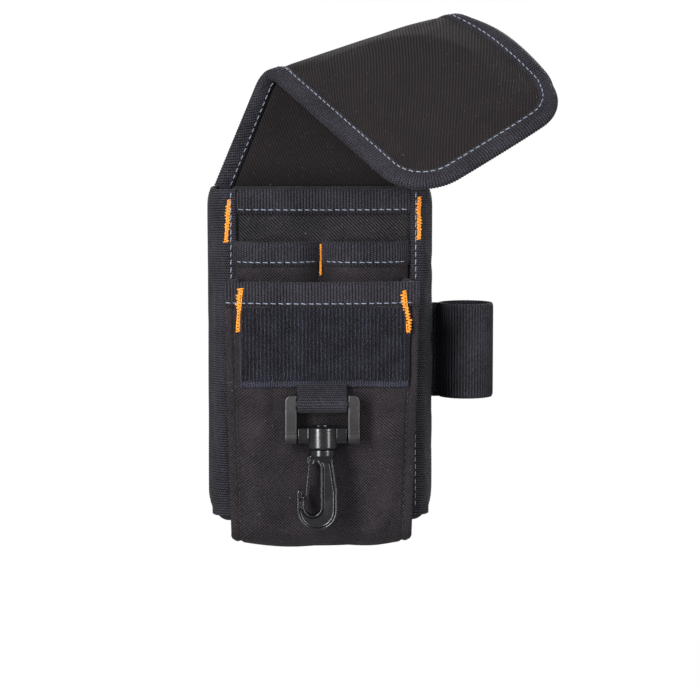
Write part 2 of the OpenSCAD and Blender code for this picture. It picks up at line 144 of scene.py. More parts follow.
def add_studio():
    world = bpy.data.worlds.new("studio")
    bpy.context.scene.world = world
    world.use_nodes = True
    background = world.node_tree.nodes["Background"]
    background.inputs["Color"].default_value = (1.0, 1.0, 1.0, 1.0)
    background.inputs["Strength"].default_value = 0.31
    add_sun("key", (0.62, 0.75, -0.72), 0.95, 12)
    add_sun("fill", (-0.8, 0.7, -0.25), 0.35, 40)
    add_sun("back", (-0.35, -0.9, -0.6), 1.7, 25)
    add_softbox("softbox_left", (-0.55, -0.85, 0.15), 0.26, 0.9, 14)
    add_softbox("softbox_right", (0.75, -0.75, 0.2), 0.2, 0.9, 7)
    bpy.ops.mesh.primitive_plane_add(size=2.6, location=(0, 0, cad_low[2] - 0.4))
    add_stage(bpy.context.object, "floor", (0.94, 0.94, 0.94, 1), 0.5)
    bpy.ops.mesh.primitive_uv_sphere_add(radius=5, segments=48, ring_count=24)
    add_stage(bpy.context.object, "backdrop", (0, 0, 0, 1), 1.0)
    bpy.context.scene.view_settings.view_transform = "Standard"


# ---- Materials ----------------------------------------------------------------------------------


class Shader:
    """A material's node tree, with short calls for the nodes that the cloths share."""

    def __init__(self, name, rough, sheen=0.0, specular=0.3, coat=0.0):
        self.material = bpy.data.materials.new(name)
        self.material.use_nodes = True
        self.tree = self.material.node_tree
        self.surface = self.tree.nodes["Principled BSDF"]
        self.surface.inputs["Roughness"].default_value = rough
        self.surface.inputs["Sheen Weight"].default_value = sheen
        self.surface.inputs["Sheen Roughness"].default_value = 0.45
        self.surface.inputs["Specular IOR Level"].default_value = specular
        self.surface.inputs["Coat Weight"].default_value = coat
        self.surface.inputs["Coat Roughness"].default_value = 0.14

    def fill(self, socket, value):
        if isinstance(value, bpy.types.NodeSocket):
            self.tree.links.new(value, socket)
        else:
            socket.default_value = value

    def math(self, operation, first, second=0.0):
        node = self.tree.nodes.new("ShaderNodeMath")
        node.operation = operation
        self.fill(node.inputs[0], first)
        self.fill(node.inputs[1], second)
        return node.outputs[0]

    def add(self, first, second):
        return self.math("ADD", first, second)

    def times(self, first, second):
        return self.math("MULTIPLY", first, second)

    def cloth_axes(self, pitch_across, pitch_along):
        """Place on the cloth, counted in thread pitches given in millimetres."""
        place = self.tree.nodes.new("ShaderNodeUVMap")
        place.uv_map = "cloth"
        parts = self.tree.nodes.new("ShaderNodeSeparateXYZ")
        self.tree.links.new(place.outputs[0], parts.inputs[0])
        return (self.times(parts.outputs[0], 1 / (pitch_across * MM)),
                self.times(parts.outputs[1], 1 / (pitch_along * MM)))

    def noise(self, scale, detail=3.0, rough=0.6):
        coordinates = self.tree.nodes.new("ShaderNodeTexCoord")
        node = self.tree.nodes.new("ShaderNodeTexNoise")
        self.tree.links.new(coordinates.outputs["Object"], node.inputs["Vector"])
        node.inputs["Scale"].default_value = scale
        node.inputs["Detail"].default_value = detail
        node.inputs["Roughness"].default_value = rough
        return node.outputs["Fac"]

    def stretch(self, value, low, high, to_low=0.0, to_high=1.0):
        node = self.tree.nodes.new("ShaderNodeMapRange")
        self.fill(node.inputs["Value"], value)
        for label, number in zip(("From Min", "From Max", "To Min", "To Max"), (low, high, to_low, to_high)):
            node.inputs[label].default_value = number
        return node.outputs[0]

    def wave(self, value):
        """A sine of the value in turns, from 0 to 1."""
        turned = self.math("SINE", self.times(value, 2 * math.pi))
        return self.stretch(turned, -1, 1)

    def mix(self, share, first, second):
        node = self.tree.nodes.new("ShaderNodeMix")
        node.data_type = "RGBA"
        self.fill(node.inputs["Factor"], share)
        self.fill(node.inputs["A"], first)
        self.fill(node.inputs["B"], second)
        return node.outputs["Result"]

    def colour(self, socket):
        self.fill(self.surface.inputs["Base Color"], socket)

    def roughness(self, socket):
        self.fill(self.surface.inputs["Roughness"], socket)

    def bump(self, height, distance, strength=1.0):
        node = self.tree.nodes.new("ShaderNodeBump")
        node.inputs["Strength"].default_value = strength
        node.inputs["Distance"].default_value = distance * MM
        self.fill(node.inputs["Height"], height)
        self.fill(self.surface.inputs["Normal"], node.outputs[0])


def rgb(red, green, blue):
    """An sRGB colour, 0 to 255, as the linear colour that shaders take."""
    shares = [value / 255 for value in (red, green, blue)]
    return (*[c / 12.92 if c <= 10 / 255 else ((c + 0.055) / 1.055) ** 2.4 for c in shares], 1.0)


def basket_height(shader, pitch):
    """Square over-and-under weave."""
    across, along = shader.cloth_axes(pitch, pitch)
    both = shader.times(shader.math("SINE", shader.times(across, math.pi)),
                        shader.math("SINE", shader.times(along, math.pi)))
    return shader.stretch(both, -1, 1)


def twill_height(shader, pitch, lean=1.0):
    """Diagonal lines broken by the threads that cross them."""
    across, along = shader.cloth_axes(pitch, pitch * lean)
    diagonal = shader.wave(shader.add(across, along))
    crossing = shader.wave(shader.times(shader.math("SUBTRACT", across, along), 2.0))
    return shader.times(diagonal, shader.stretch(crossing, 0, 1, 0.5, 1.0))


def flap_twill_height(shader, pitch):
    return twill_height(shader, pitch, lean=-1.33)


def web_height(shader, pitch):
    """Ribs, counted by the cloth's second axis, each wound with threads that step from rib to rib."""
    across, ribs = shader.cloth_axes(pitch, 1.0)
    swing = shader.math("ABSOLUTE", shader.math("SINE", shader.times(ribs, math.pi)))
    crest = shader.math("POWER", swing, 0.7)
    step = shader.times(shader.math("FLOOR", ribs), 0.5)
    threads = shader.wave(shader.add(across, step))
    return shader.times(crest, shader.stretch(threads, 0, 1, 0.45, 1.0))


def cloth_material(name, dark, light, height_of, pitch, depth, lint=0.3):
    """Woven nylon, lighter on the weave's crests and darker in its hollows, with uneven dye, lint and a soft
    sheen; the light crests are partly wear and partly painted highlight, the dark hollows painted shade.
    """
    shader = Shader(name, rough=0.7, sheen=0.05, specular=0.16)
    height = height_of(shader, pitch)
    tone = shader.stretch(shader.noise(70, 4), 0.3, 0.7, -0.16, 0.16)
    grain = shader.stretch(shader.noise(1500, 2), 0.3, 0.7, -0.28, 0.28)
    share = shader.add(height, shader.add(tone, grain))
    # Colour by weave height: painted highlight on the crests, partly wear, and painted shade in the hollows, mixed
    # with the random dye tone and grain.
    threads = shader.mix(shader.stretch(share, 0.12, 0.95), dark, light)
    specks = shader.stretch(shader.noise(1000, 1), 0.73, 0.78, 0.0, lint)
    shader.colour(shader.mix(specks, threads, rgb(118, 116, 120)))
    shader.roughness(shader.stretch(height, 0, 1, 0.9, 0.58))
    shader.bump(shader.add(height, shader.times(grain, 0.35)), depth)
    return shader.material


def pile_material(name, dark, light):
    """The looped or hooked face of a fastener: knobbly, bluish and almost without gloss."""
    shader = Shader(name, rough=0.9, sheen=0.2, specular=0.15)
    knobs = shader.noise(1400, 3, 0.7)
    patches = shader.noise(150, 3)
    share = shader.add(shader.stretch(knobs, 0.35, 0.7), shader.stretch(patches, 0.3, 0.7, -0.3, 0.3))
    shader.colour(shader.mix(shader.stretch(share, 0, 1), dark, light))
    shader.roughness(shader.stretch(knobs, 0.3, 0.7, 0.95, 0.8))
    shader.bump(knobs, 0.35)
    return shader.material


def thread_material(name, dark, light):
    """Twisted sewing thread with a slight polish."""
    shader = Shader(name, rough=0.5, sheen=0.1, specular=0.45)
    strands = shader.noise(2600, 2)
    shader.colour(shader.mix(shader.stretch(strands, 0.35, 0.65), dark, light))
    shader.roughness(shader.stretch(strands, 0.3, 0.7, 0.62, 0.42))
    shader.bump(strands, 0.12)
    return shader.material


def plastic_material(name, dark, rubbed, smooth):
    """Moulded acetal with a fine spark-eroded grain, scuffed patches and rubbed edges."""
    shader = Shader(name, rough=smooth, specular=0.6, coat=0.2)
    grain = shader.noise(2200, 2)
    scuffs = shader.noise(90, 5, 0.75)
    edges = shader.tree.nodes.new("ShaderNodeNewGeometry").outputs["Pointiness"]
    worn = shader.add(shader.stretch(scuffs, 0.52, 0.75, 0.0, 0.3),
                      shader.stretch(edges, 0.53, 0.62, 0.0, 0.4))
    shader.colour(shader.mix(shader.stretch(worn, 0, 1), dark, rubbed))
    shader.roughness(shader.add(shader.stretch(scuffs, 0.35, 0.7, smooth, smooth + 0.16),
                                shader.stretch(grain, 0.3, 0.7, -0.03, 0.03)))
    shader.bump(shader.add(shader.times(grain, 0.5), scuffs), 0.015)
    return shader.material


def board_material(name):
    """Grey fibre board, hidden between the two back layers."""
    shader = Shader(name, rough=0.85)
    fibres = shader.noise(700, 4)
    shader.colour(shader.mix(fibres, rgb(96, 92, 88), rgb(132, 128, 120)))
    shader.bump(fibres, 0.1)
    return shader.material


BASKET = cloth_material("basket_nylon", rgb(8, 7, 8), rgb(50, 44, 49), basket_height, 0.62, 0.18)
TWILL = cloth_material("twill_nylon", rgb(10, 9, 11), rgb(52, 49, 52), twill_height, 1.4, 0.16)
FLAP_TWILL = cloth_material("flap_nylon", rgb(20, 16, 17), rgb(37, 32, 33), flap_twill_height, 1.2, 0.1)
LINING = cloth_material("lining_nylon", rgb(20, 20, 21), rgb(56, 54, 57), basket_height, 0.4, 0.06, lint=0.2)
WEBBING = cloth_material("ribbed_webbing", rgb(3, 3, 5), rgb(53, 51, 59), web_height, 0.8, 0.2)
PILE_GROUND = pile_material("loop_ground", rgb(4, 4, 8), rgb(28, 28, 38))
PILE = pile_material("loop_pile", rgb(15, 16, 24), rgb(64, 65, 82))
HOOK_TAPE = pile_material("hook_tape", rgb(18, 18, 20), rgb(56, 56, 60))
GREY_THREAD = thread_material("grey_thread", rgb(84, 91, 106), rgb(152, 161, 180))
BLACK_THREAD = thread_material("black_thread", rgb(12, 12, 13), rgb(44, 44, 48))
ORANGE_THREAD = thread_material("orange_thread", rgb(214, 108, 8), rgb(250, 172, 44))
# The frame's acetal has a lighter base than the hook's. This is a painted reflection that stands for the broad
# softbox reflection on the frame's legs.
FRAME_PLASTIC_PAINTED_REFLECTION = plastic_material("frame_acetal_painted_reflection", rgb(28, 26, 28), rgb(64, 61, 66), 0.36)
HOOK_PLASTIC = plastic_material("hook_acetal", rgb(12, 12, 16), rgb(48, 48, 54), 0.2)
SELVEDGE = cloth_material("patch_selvedge", rgb(6, 6, 10), rgb(54, 55, 68), web_height, 0.8, 0.2, lint=0.2)
BOARD = board_material("fibre_board")

# ---- Meshes -------------------------------------------------------------------------------------


def add_piece(name, points, faces, material, uv=None, smooth=True):
    """A mesh object from points in millimetres; uv is each point's place on the cloth."""
    mesh = bpy.data.meshes.new(name)
    mesh.from_pydata((np.asarray(points) * MM).tolist(), [], [tuple(map(int, face)) for face in faces])
    mesh.materials.append(material)
    mesh.polygons.foreach_set("use_smooth", [smooth] * len(mesh.polygons))
    layer = mesh.uv_layers.new(name="cloth")
    if uv is not None:
        corners = np.zeros(len(mesh.loops), np.int32)
        mesh.loops.foreach_get("vertex_index", corners)
        layer.data.foreach_set("uv", (np.asarray(uv, float)[corners] * MM).ravel())
    mesh.update()
    piece = bpy.data.objects.new(name, mesh)
    bpy.context.scene.collection.objects.link(piece)
    return piece


def unit(vectors):
    return vectors / np.maximum(np.linalg.norm(vectors, axis=-1, keepdims=True), 1e-9)


def surface_normals(grid):
    return unit(np.cross(np.gradient(grid, axis=1), np.gradient(grid, axis=0)))


def cloth_places(grid):
    """Each grid point's distance along its row and its column, in millimetres."""
    across = np.concatenate([np.zeros((len(grid), 1)),
                             np.cumsum(np.linalg.norm(np.diff(grid, axis=1), axis=2), axis=1)], axis=1)
    along = np.concatenate([np.zeros((1, grid.shape[1])),
                            np.cumsum(np.linalg.norm(np.diff(grid, axis=0), axis=2), axis=0)], axis=0)
    return np.stack([across, along], axis=2)


def grid_faces(rows, cols, first=0, flip=False):
    faces = []
    for i in range(rows - 1):
        for j in range(cols - 1):
            a = first + i * cols + j
            face = (a, a + 1, a + cols + 1, a + cols)
            faces.append(face[::-1] if flip else face)
    return faces


def grid_of(x, y, z):
    """A grid of points from its coordinates, each one a number, a line or a whole grid."""
    return np.stack(np.broadcast_arrays(x, y, z), axis=2).astype(float)


def run_lengths(path):
    """Distance along a path to each of its points."""
    return np.concatenate([[0], np.cumsum(np.linalg.norm(np.diff(path, axis=0), axis=1))])


def at_lengths(stations, lengths, path):
    """The path's points at some distances along it."""
    return np.stack([np.interp(stations, lengths, path[:, k]) for k in range(path.shape[1])], axis=1)


def add_slab(name, grid, thickness, material, relief=0.0, back_relief=0.0, rib_pitch=1.0, spin=False):
    """A closed sheet of cloth about a grid of points; relief raises its two faces."""
    rows, cols = grid.shape[:2]
    normal = surface_normals(grid)
    front = grid + normal * (thickness / 2 + np.zeros((rows, cols)) + relief)[..., None]
    back = grid - normal * (thickness / 2 + np.zeros((rows, cols)) + back_relief)[..., None]
    count = rows * cols
    rim = [j for j in range(cols)]
    rim += [i * cols + cols - 1 for i in range(1, rows)]
    rim += [(rows - 1) * cols + j for j in range(cols - 2, -1, -1)]
    rim += [i * cols for i in range(rows - 2, 0, -1)]
    faces = grid_faces(rows, cols) + grid_faces(rows, cols, count, flip=True)
    faces += [(rim[k], rim[k] + count, rim[(k + 1) % len(rim)] + count, rim[(k + 1) % len(rim)])
              for k in range(len(rim))]
    places = cloth_places(grid)
    if spin:
        places = places[..., ::-1]
    places[..., 1] /= rib_pitch
    points = np.concatenate([front.reshape(-1, 3), back.reshape(-1, 3)])
    uv = np.concatenate([places.reshape(-1, 2)] * 2)
    return add_piece(name, points, faces, material, uv)


def resample(path, step):
    """The path's points at even steps, with its arc lengths."""
    path = np.asarray(path, float)
    lengths = run_lengths(path)
    count = max(2, int(round(lengths[-1] / step)) + 1)
    stations = np.linspace(0, lengths[-1], count)
    return at_lengths(stations, lengths, path), stations


def rib_relief(stations, pitch, height):
    """Rounded ribs across a webbing, by place along it."""
    return height * np.sqrt(np.abs(np.sin(np.pi * stations / pitch)))


RIB_SAMPLES = 5
RIB_PITCH = 1.2
RIB_HEIGHT = 0.42
BAND_RIB_PITCH = 0.95


def folded_profile(half, width):
    """Section of a folded binding, as (out, in from the fold, ribbed); half is half its thickness."""
    return [(half, width, 0.3), (half + 0.12, width * 0.75, 1), (half + 0.15, width * 0.5, 1),
            (half + 0.1, width * 0.25, 1), (half * 0.9, half * 0.75, 1), (half * 0.5, half * 0.2, 1),
            (0, 0, 1), (-half * 0.5, half * 0.2, 1), (-half * 0.9, half * 0.75, 1),
            (-half - 0.1, width * 0.25, 1), (-half - 0.15, width * 0.5, 1), (-half - 0.12, width * 0.75, 1),
            (-half, width, 0.3), (0, width * 1.01, 0)]


def add_binding(name, path, normal, inward, half, width, height=RIB_HEIGHT):
    """Ribbed webbing folded over the edge that runs along a path."""
    path = np.asarray(path, float)
    profile = np.array(folded_profile(half, width))
    section = profile[:, :2]
    edge = np.roll(section, -1, axis=0) - np.roll(section, 1, axis=0)
    outward = unit(np.stack([edge[:, 1], -edge[:, 0]], axis=1))
    if np.sum(outward * (section - section.mean(0))) < 0:
        outward = -outward
    sides = [np.broadcast_to(vector, path.shape) for vector in (normal, inward)]
    joined = np.concatenate([path, *sides], axis=1)
    lengths = run_lengths(path)
    count = max(3, int(round(lengths[-1] / RIB_PITCH * RIB_SAMPLES)) + 1)
    stations = np.linspace(0, lengths[-1], count)
    joined = at_lengths(stations, lengths, joined)
    place, out, across = joined[:, :3], unit(joined[:, 3:6]), unit(joined[:, 6:9])
    ribs = rib_relief(stations, RIB_PITCH, height)[:, None] * profile[None, :, 2]
    a = section[None, :, 0] + outward[None, :, 0] * ribs
    b = section[None, :, 1] + outward[None, :, 1] * ribs
    grid = place[:, None] + out[:, None] * a[..., None] + across[:, None] * b[..., None]
    rows, cols = grid.shape[:2]
    faces = [(i * cols + j, (i + 1) * cols + j, (i + 1) * cols + (j + 1) % cols, i * cols + (j + 1) % cols)
             for i in range(rows - 1) for j in range(cols)]
    faces += [tuple(range(cols)), tuple(range((rows - 1) * cols + cols - 1, (rows - 1) * cols - 1, -1))]
    uv = np.stack(np.broadcast_arrays(run_lengths(section)[None, :], stations[:, None] / RIB_PITCH), axis=2)
    return add_piece(name, grid.reshape(-1, 3), faces, WEBBING, uv.reshape(-1, 2))


def add_tubes(name, courses, radius, material, sides=6):
    """Threads of one radius, each along its own list of points."""
    points, faces = [], []
    angles = np.arange(sides) * 2 * np.pi / sides
    for course in courses:
        course = np.asarray(course, float)
        along = unit(np.gradient(course, axis=0))
        side = unit(np.cross(along, np.array([0.31, 0.52, 0.79])))
        over = np.cross(along, side)
        first = sum(len(ring) for ring in points)
        swell = np.ones(len(course))
        swell[0] = swell[-1] = 0.45
        ring = (course[:, None] + (side[:, None] * np.cos(angles)[None, :, None]
                                   + over[:, None] * np.sin(angles)[None, :, None])
                * (radius * swell)[:, None, None])
        points.append(ring.reshape(-1, 3))
        rows = len(course)
        faces += [(first + i * sides + j, first + i * sides + (j + 1) % sides,
                   first + (i + 1) * sides + (j + 1) % sides, first + (i + 1) * sides + j)
                  for i in range(rows - 1) for j in range(sides)]
        faces += [tuple(first + j for j in range(sides - 1, -1, -1)),
                  tuple(first + (rows - 1) * sides + j for j in range(sides))]
    return add_piece(name, np.concatenate(points), faces, material)


STITCH_PITCH = 2.9
STITCH_LENGTH = 2.3
STITCH_RADIUS = 0.2


def stitch_courses(path, out, lift=0.12):
    """One short course for each stitch of a seam along the path, its ends dipping into the cloth."""
    path, out = np.asarray(path, float), np.broadcast_to(np.asarray(out, float), np.shape(path))
    lengths = run_lengths(path)
    share = np.linspace(0, 1, 7)
    courses = []
    for start in np.arange(0.3, lengths[-1] - STITCH_LENGTH, STITCH_PITCH):
        stations = start + rng.uniform(-0.12, 0.12) + STITCH_LENGTH * share
        spot = at_lengths(stations, lengths, path)
        away = unit(at_lengths(stations, lengths, out))
        side = unit(np.cross(spot[-1] - spot[0], away[0]))
        slant = rng.uniform(0.05, 0.35) * (share - 0.5)
        dip = lift - 0.45 * np.abs(2 * share - 1) ** 4
        courses.append(spot + away * dip[:, None] + side * slant[:, None])
    return courses


def sew(name, courses, thread=GREY_THREAD):
    """The stitches of a seam that stays with the pouch."""
    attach(add_tubes(name, courses, STITCH_RADIUS, thread), "pouch")


DOWN = (0, 0, -1)
FORWARDS = (0, -1, 0)
BACKWARDS = (0, 1, 0)


def straight(start, end, count=60):
    return np.linspace(np.asarray(start, float), np.asarray(end, float), count)


def eased(shift, pinned, rounds=3):
    """The simulated shift without its finest wrinkles, which are only as wide as the grid's step."""
    for _ in range(rounds):
        around = np.pad(shift, ((1, 1), (1, 1), (0, 0)), "edge")
        beside = around[:-2, 1:-1] + around[2:, 1:-1] + around[1:-1, :-2] + around[1:-1, 2:]
        shift = shift / 2 + beside / 8
        shift[pinned] = 0
    return shift


SIM_SCALE = 0.02
SIM_FRAMES = 16


def settle(grid, pinned, pressure, slack, limit, gravity=0.0):
    """The grid after its cloth, cut a little long, swells and sags between its pinned points.

    No point moves further than the limit, in millimetres, however far the simulation takes it.
    """
    scene = bpy.context.scene
    mesh = bpy.data.meshes.new("settling")
    mesh.from_pydata((grid.reshape(-1, 3) * SIM_SCALE).tolist(), [], grid_faces(*grid.shape[:2]))
    sheet = bpy.data.objects.new("settling", mesh)
    scene.collection.objects.link(sheet)
    sheet.vertex_groups.new(name="pinned").add(np.flatnonzero(pinned).tolist(), 1.0, "REPLACE")
    cloth = sheet.modifiers.new("cloth", "CLOTH").settings
    cloth.quality = 6
    cloth.mass = 0.25
    cloth.tension_stiffness = 20
    cloth.compression_stiffness = 12
    cloth.shear_stiffness = 8
    cloth.bending_stiffness = 0.5
    cloth.vertex_group_mass = "pinned"
    cloth.use_pressure = True
    cloth.uniform_pressure_force = pressure
    cloth.shrink_min = -slack
    cloth.effector_weights.gravity = gravity
    for number in range(1, SIM_FRAMES + 1):
        scene.frame_set(number)
    settled = sheet.evaluated_get(bpy.context.evaluated_depsgraph_get()).data
    moved = np.empty(grid.size)
    settled.vertices.foreach_get("co", moved)
    bpy.data.objects.remove(sheet)
    scene.frame_set(1)
    shift = eased(moved.reshape(grid.shape) / SIM_SCALE - grid, pinned)
    reach = np.linalg.norm(shift, axis=2, keepdims=True)
    return grid + shift * np.minimum(1, limit / np.maximum(reach, 1e-6))


def refine(grid, *axes):
    """The grid with a point added smoothly between every two, along each of the axes named."""
    for axis in axes:
        line = np.moveaxis(grid, axis, 0)
        padded = np.concatenate([2 * line[:1] - line[1:2], line, 2 * line[-1:] - line[-2:-1]])
        fine = np.empty((2 * len(line) - 1, *line.shape[1:]))
        fine[::2] = line
        fine[1::2] = (9 * (padded[1:-2] + padded[2:-1]) - padded[:-3] - padded[3:]) / 16
        grid = np.moveaxis(fine, 0, axis)
    return grid


def fasten(piece, node):
    """Let a piece stand for a CAD node and stay with the pouch."""
    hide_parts(node)
    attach(piece, "pouch")


def dress(piece, node):
    fasten(piece, node)


# ---- Measures taken from the frame --------------------------------------------------------------

PANEL_LOW, PANEL_HIGH = box("main_front_panel")
BACK_LOW, BACK_HIGH = box("back_panel")
BAND_LOW, BAND_HIGH = box("side_band_right")
TOOL_LOW, TOOL_HIGH = box("tool_pocket_right")
POCKET_LOW, POCKET_HIGH = box("front_pocket")
PATCH_LOW, PATCH_HIGH = box("loop_patch")
SLEEVE_LOW, SLEEVE_HIGH = box("flashlight_loop")
BELT_HIGH = box("belt_loop")[1]
CLIP_WEB_HIGH = box("clip_webbing")[1]
LINING_LOW, LINING_HIGH = box("back_lining")
MAIN_BINDING_LOW, MAIN_BINDING_HIGH = box("main_pocket_binding")

TOP = BACK_HIGH[2]
FRONT = PANEL_LOW[1]
FRONT_HALF = MAIN_BINDING_HIGH[0] + 0.5
BINDING_W = MAIN_BINDING_HIGH[2] - MAIN_BINDING_LOW[2]


# ---- Back of the pouch --------------------------------------------------------------------------

CLOTH_T = 1.1
LINING_T = 0.9
BACK_SEAM_INSET = 5.6
TAPE_HALF = 2.25
TAPE_W = 7.5
TAPE_RIB_HEIGHT = 0.26
TAPE_OVERHANG = 0.7
TAPE_CORNER = 3.0
LOOP_T = 1.0
LOOP_BOW = 0.9
# How far from the belt loop's ends its tunnel, its stitched box's inner edge and outer edge lie
LOOP_TUNNEL_END = 22
LOOP_BOX_INNER = 5.2
LOOP_BOX_OUTER = 1.2


def make_back():
    middle = (BACK_LOW[1] + BACK_HIGH[1]) / 2
    half = BACK_HIGH[0]
    x, z = np.meshgrid(np.linspace(half, -half, 90), np.linspace(BACK_LOW[2], TOP, 140))
    soft = 0.25 * np.sin(x / 13) * np.sin(z / 17 + 1) + 0.12 * np.sin(x / 5 + z / 9)
    grid = grid_of(x, middle, z)
    edge = np.minimum(half - np.abs(x), np.minimum(z - BACK_LOW[2], TOP - z))
    round_off = -0.45 * np.exp(-edge / 0.6)
    behind = (soft + round_off)[:, ::-1]
    outer = add_slab("back_panel_cloth", grid[:, ::-1], CLOTH_T, BASKET, round_off, behind)
    dress(outer, "back_panel")
    inside = (LINING_LOW[1] + LINING_HIGH[1]) / 2
    x, z = np.meshgrid(np.linspace(LINING_LOW[0], LINING_HIGH[0], 60), np.linspace(LINING_LOW[2], TOP, 90))
    grid = grid_of(x, inside + 0.2 * np.sin(x / 11) * np.sin(z / 14), z)
    lining = add_slab("back_lining_cloth", grid, LINING_T, LINING)
    dress(lining, "back_lining")
    board = frame["nodes"]["back_stiffener"]
    board.data.materials.clear()
    board.data.materials.append(BOARD)
    courses = []
    inset = BACK_SEAM_INSET
    y = BACK_HIGH[1] + 0.75
    for start, end in (((-half + inset, y, TOP - inset), (-half + inset, y, BACK_LOW[2] + inset)),
                       ((half - inset, y, TOP - inset), (half - inset, y, BACK_LOW[2] + inset)),
                       ((-half + inset, y, BACK_LOW[2] + inset), (half - inset, y, BACK_LOW[2] + inset)),
                       ((-half + inset, y, TOP - inset), (half - inset, y, TOP - inset))):
        courses += stitch_courses(straight(start, end), BACKWARDS, 0.2)
    sew("back_stitches", courses)


def make_back_tape():
    """Tape folded over the raw edges of the back's layers, down one side, along the foot and up the other."""
    middle = (BACK_HIGH[1] + LINING_LOW[1]) / 2
    edge_x, edge_z, radius = BACK_HIGH[0] + TAPE_OVERHANG, BACK_LOW[2] - TAPE_OVERHANG, TAPE_CORNER
    side = [(-edge_x, z) for z in np.linspace(TOP, edge_z + radius, 60)]
    corner = [(-edge_x + radius * (1 - math.cos(a)), edge_z + radius * (1 - math.sin(a)))
              for a in np.linspace(0, math.pi / 2, 10)[1:]]
    foot = [(x, edge_z) for x in np.linspace(-edge_x + radius, edge_x - radius, 40)[1:-1]]
    outline = np.array(side + corner + foot + [(-x, z) for x, z in (side + corner)[::-1]])
    path = np.column_stack([outline[:, 0], np.full(len(outline), middle), outline[:, 1]])
    tangent = unit(np.gradient(path, axis=0))
    inward = np.cross(BACKWARDS, tangent)
    inward[np.sum(inward * (path - [0, middle, -20]), axis=1) > 0] *= -1
    tape = add_binding("back_edge_tape", path, BACKWARDS, inward, TAPE_HALF, TAPE_W,
                       TAPE_RIB_HEIGHT)
    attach(tape, "pouch")


def make_belt_loop():
    """Webbing across the back, sewn flat above and below the tunnel with stitched boxes."""
    half = BELT_HIGH[0]
    end_z, gap_y, flat_y = BELT_HIGH[2], BELT_HIGH[1] - 0.8, BACK_HIGH[1] + 0.8
    reach = end_z - 2.5
    tunnel = end_z - LOOP_TUNNEL_END
    z = np.linspace(-end_z, end_z, int(2 * end_z / BAND_RIB_PITCH * RIB_SAMPLES))
    lift = np.clip((reach - np.abs(z)) / (reach - tunnel), 0, 1)
    bow = LOOP_BOW * np.cos(np.pi / 2 * np.clip(z / tunnel, -1, 1))
    y = flat_y + (gap_y - flat_y) * lift ** 2 * (3 - 2 * lift) + bow
    x = np.linspace(half, -half, 34)
    grid = grid_of(x, y[:, None], z[:, None])
    ribs = rib_relief(z + end_z, BAND_RIB_PITCH, 0.28)[:, None]
    ribs = ribs - 0.5 * np.exp(-(half - np.abs(x)) / 0.5)[None, :]
    loop = add_slab("belt_loop_webbing", grid, LOOP_T, WEBBING, ribs, ribs, BAND_RIB_PITCH)
    dress(loop, "belt_loop")
    courses = []
    y = flat_y + 0.95
    for side in (-1, 1):
        low, high = side * (end_z - LOOP_BOX_INNER), side * (end_z - LOOP_BOX_OUTER)
        edge = half - 2
        for start, end in (((-edge, y, low), (edge, y, low)), ((-edge, y, high), (edge, y, high)),
                           ((-edge, y, low), (-edge, y, high)), ((edge, y, low), (edge, y, high))):
            courses += stitch_courses(straight(start, end), BACKWARDS)
    sew("belt_loop_stitches", courses)


# ---- Main pocket --------------------------------------------------------------------------------


HEM_LEFT, HEM_RIGHT = FRONT_HALF - 2.4, FRONT_HALF - 0.3


def hem_x(side):
    """Where a band's hem ends on the front panel; the left one was sewn a little further in."""
    return HEM_RIGHT if side > 0 else HEM_LEFT


def band_plan(side):
    """Plan course of a side band: a hem on the front, a rounded turn and a run to the back seam."""
    turn_x, turn_r = FRONT_HALF + 2.4, 4.2
    front_y, back_x = FRONT - 1.0, BAND_HIGH[0] - 2.2
    hem = [(x, front_y) for x in np.linspace(hem_x(side), turn_x, 6)]
    turn = [(turn_x + turn_r * math.sin(a), front_y + turn_r * 1.2 * (1 - math.cos(a)))
            for a in np.linspace(0, math.pi / 2, 10)[1:]]
    start_x, start_y = turn[-1]
    reach_x, reach_y = back_x - start_x, BAND_HIGH[1] - start_y
    run = [(start_x + reach_x * k + 0.6 * math.sin(math.pi * k), start_y + reach_y * k)
           for k in np.linspace(0, 1, 16)[1:]]
    plan, _ = resample(hem + turn + run, 1.25)
    return plan * np.array([side, 1])


def make_side_band(side, name):
    """Ribbed webbing sewn on the front panel's edge, which turns and runs to the back."""
    low_z = BAND_LOW[2]
    plan = band_plan(side)
    z = np.linspace(low_z, TOP, 60)
    grid = grid_of(*plan.T, z[:, None])
    if side < 0:
        grid = grid[:, ::-1]
    pinned = np.ones(grid.shape[:2], bool)
    free = slice(2, -5) if side < 0 else slice(5, -2)
    pinned[2:-1, free] = False
    grid = refine(settle(grid, pinned, pressure=0.5, slack=0.012, limit=1.4), 1)
    heights = np.linspace(low_z, TOP, int((TOP - low_z) / BAND_RIB_PITCH * RIB_SAMPLES))
    lines = np.interp(heights, z, np.arange(len(z)))
    below = np.minimum(lines.astype(int), len(z) - 2)
    grid = grid[below] + (grid[below + 1] - grid[below]) * (lines - below)[:, None, None]
    along = cloth_places(grid)[0, :, 0]
    along = along[-1] - along if side < 0 else along
    centre = np.exp(-((along - 5.4) / 0.35) ** 2)
    edge = np.exp(-np.minimum(along, along.max() - along) / 0.5)
    ribs = rib_relief(heights - low_z, BAND_RIB_PITCH, 0.34)[:, None] * (1 - 0.6 * centre)[None, :]
    outside = ribs - 0.3 * edge[None, :]
    band = add_slab(name + "_webbing", grid, CLOTH_T, WEBBING, outside, ribs * 0.5,
                    BAND_RIB_PITCH)
    dress(band, name)
    seam_x, seam_y = side * (hem_x(side) + 2.0), FRONT - 1.0 - 0.95
    path = straight((seam_x, seam_y, TOP - 1), (seam_x, seam_y, low_z + 1), 90)
    sew(name + "_stitches", stitch_courses(path, FORWARDS))


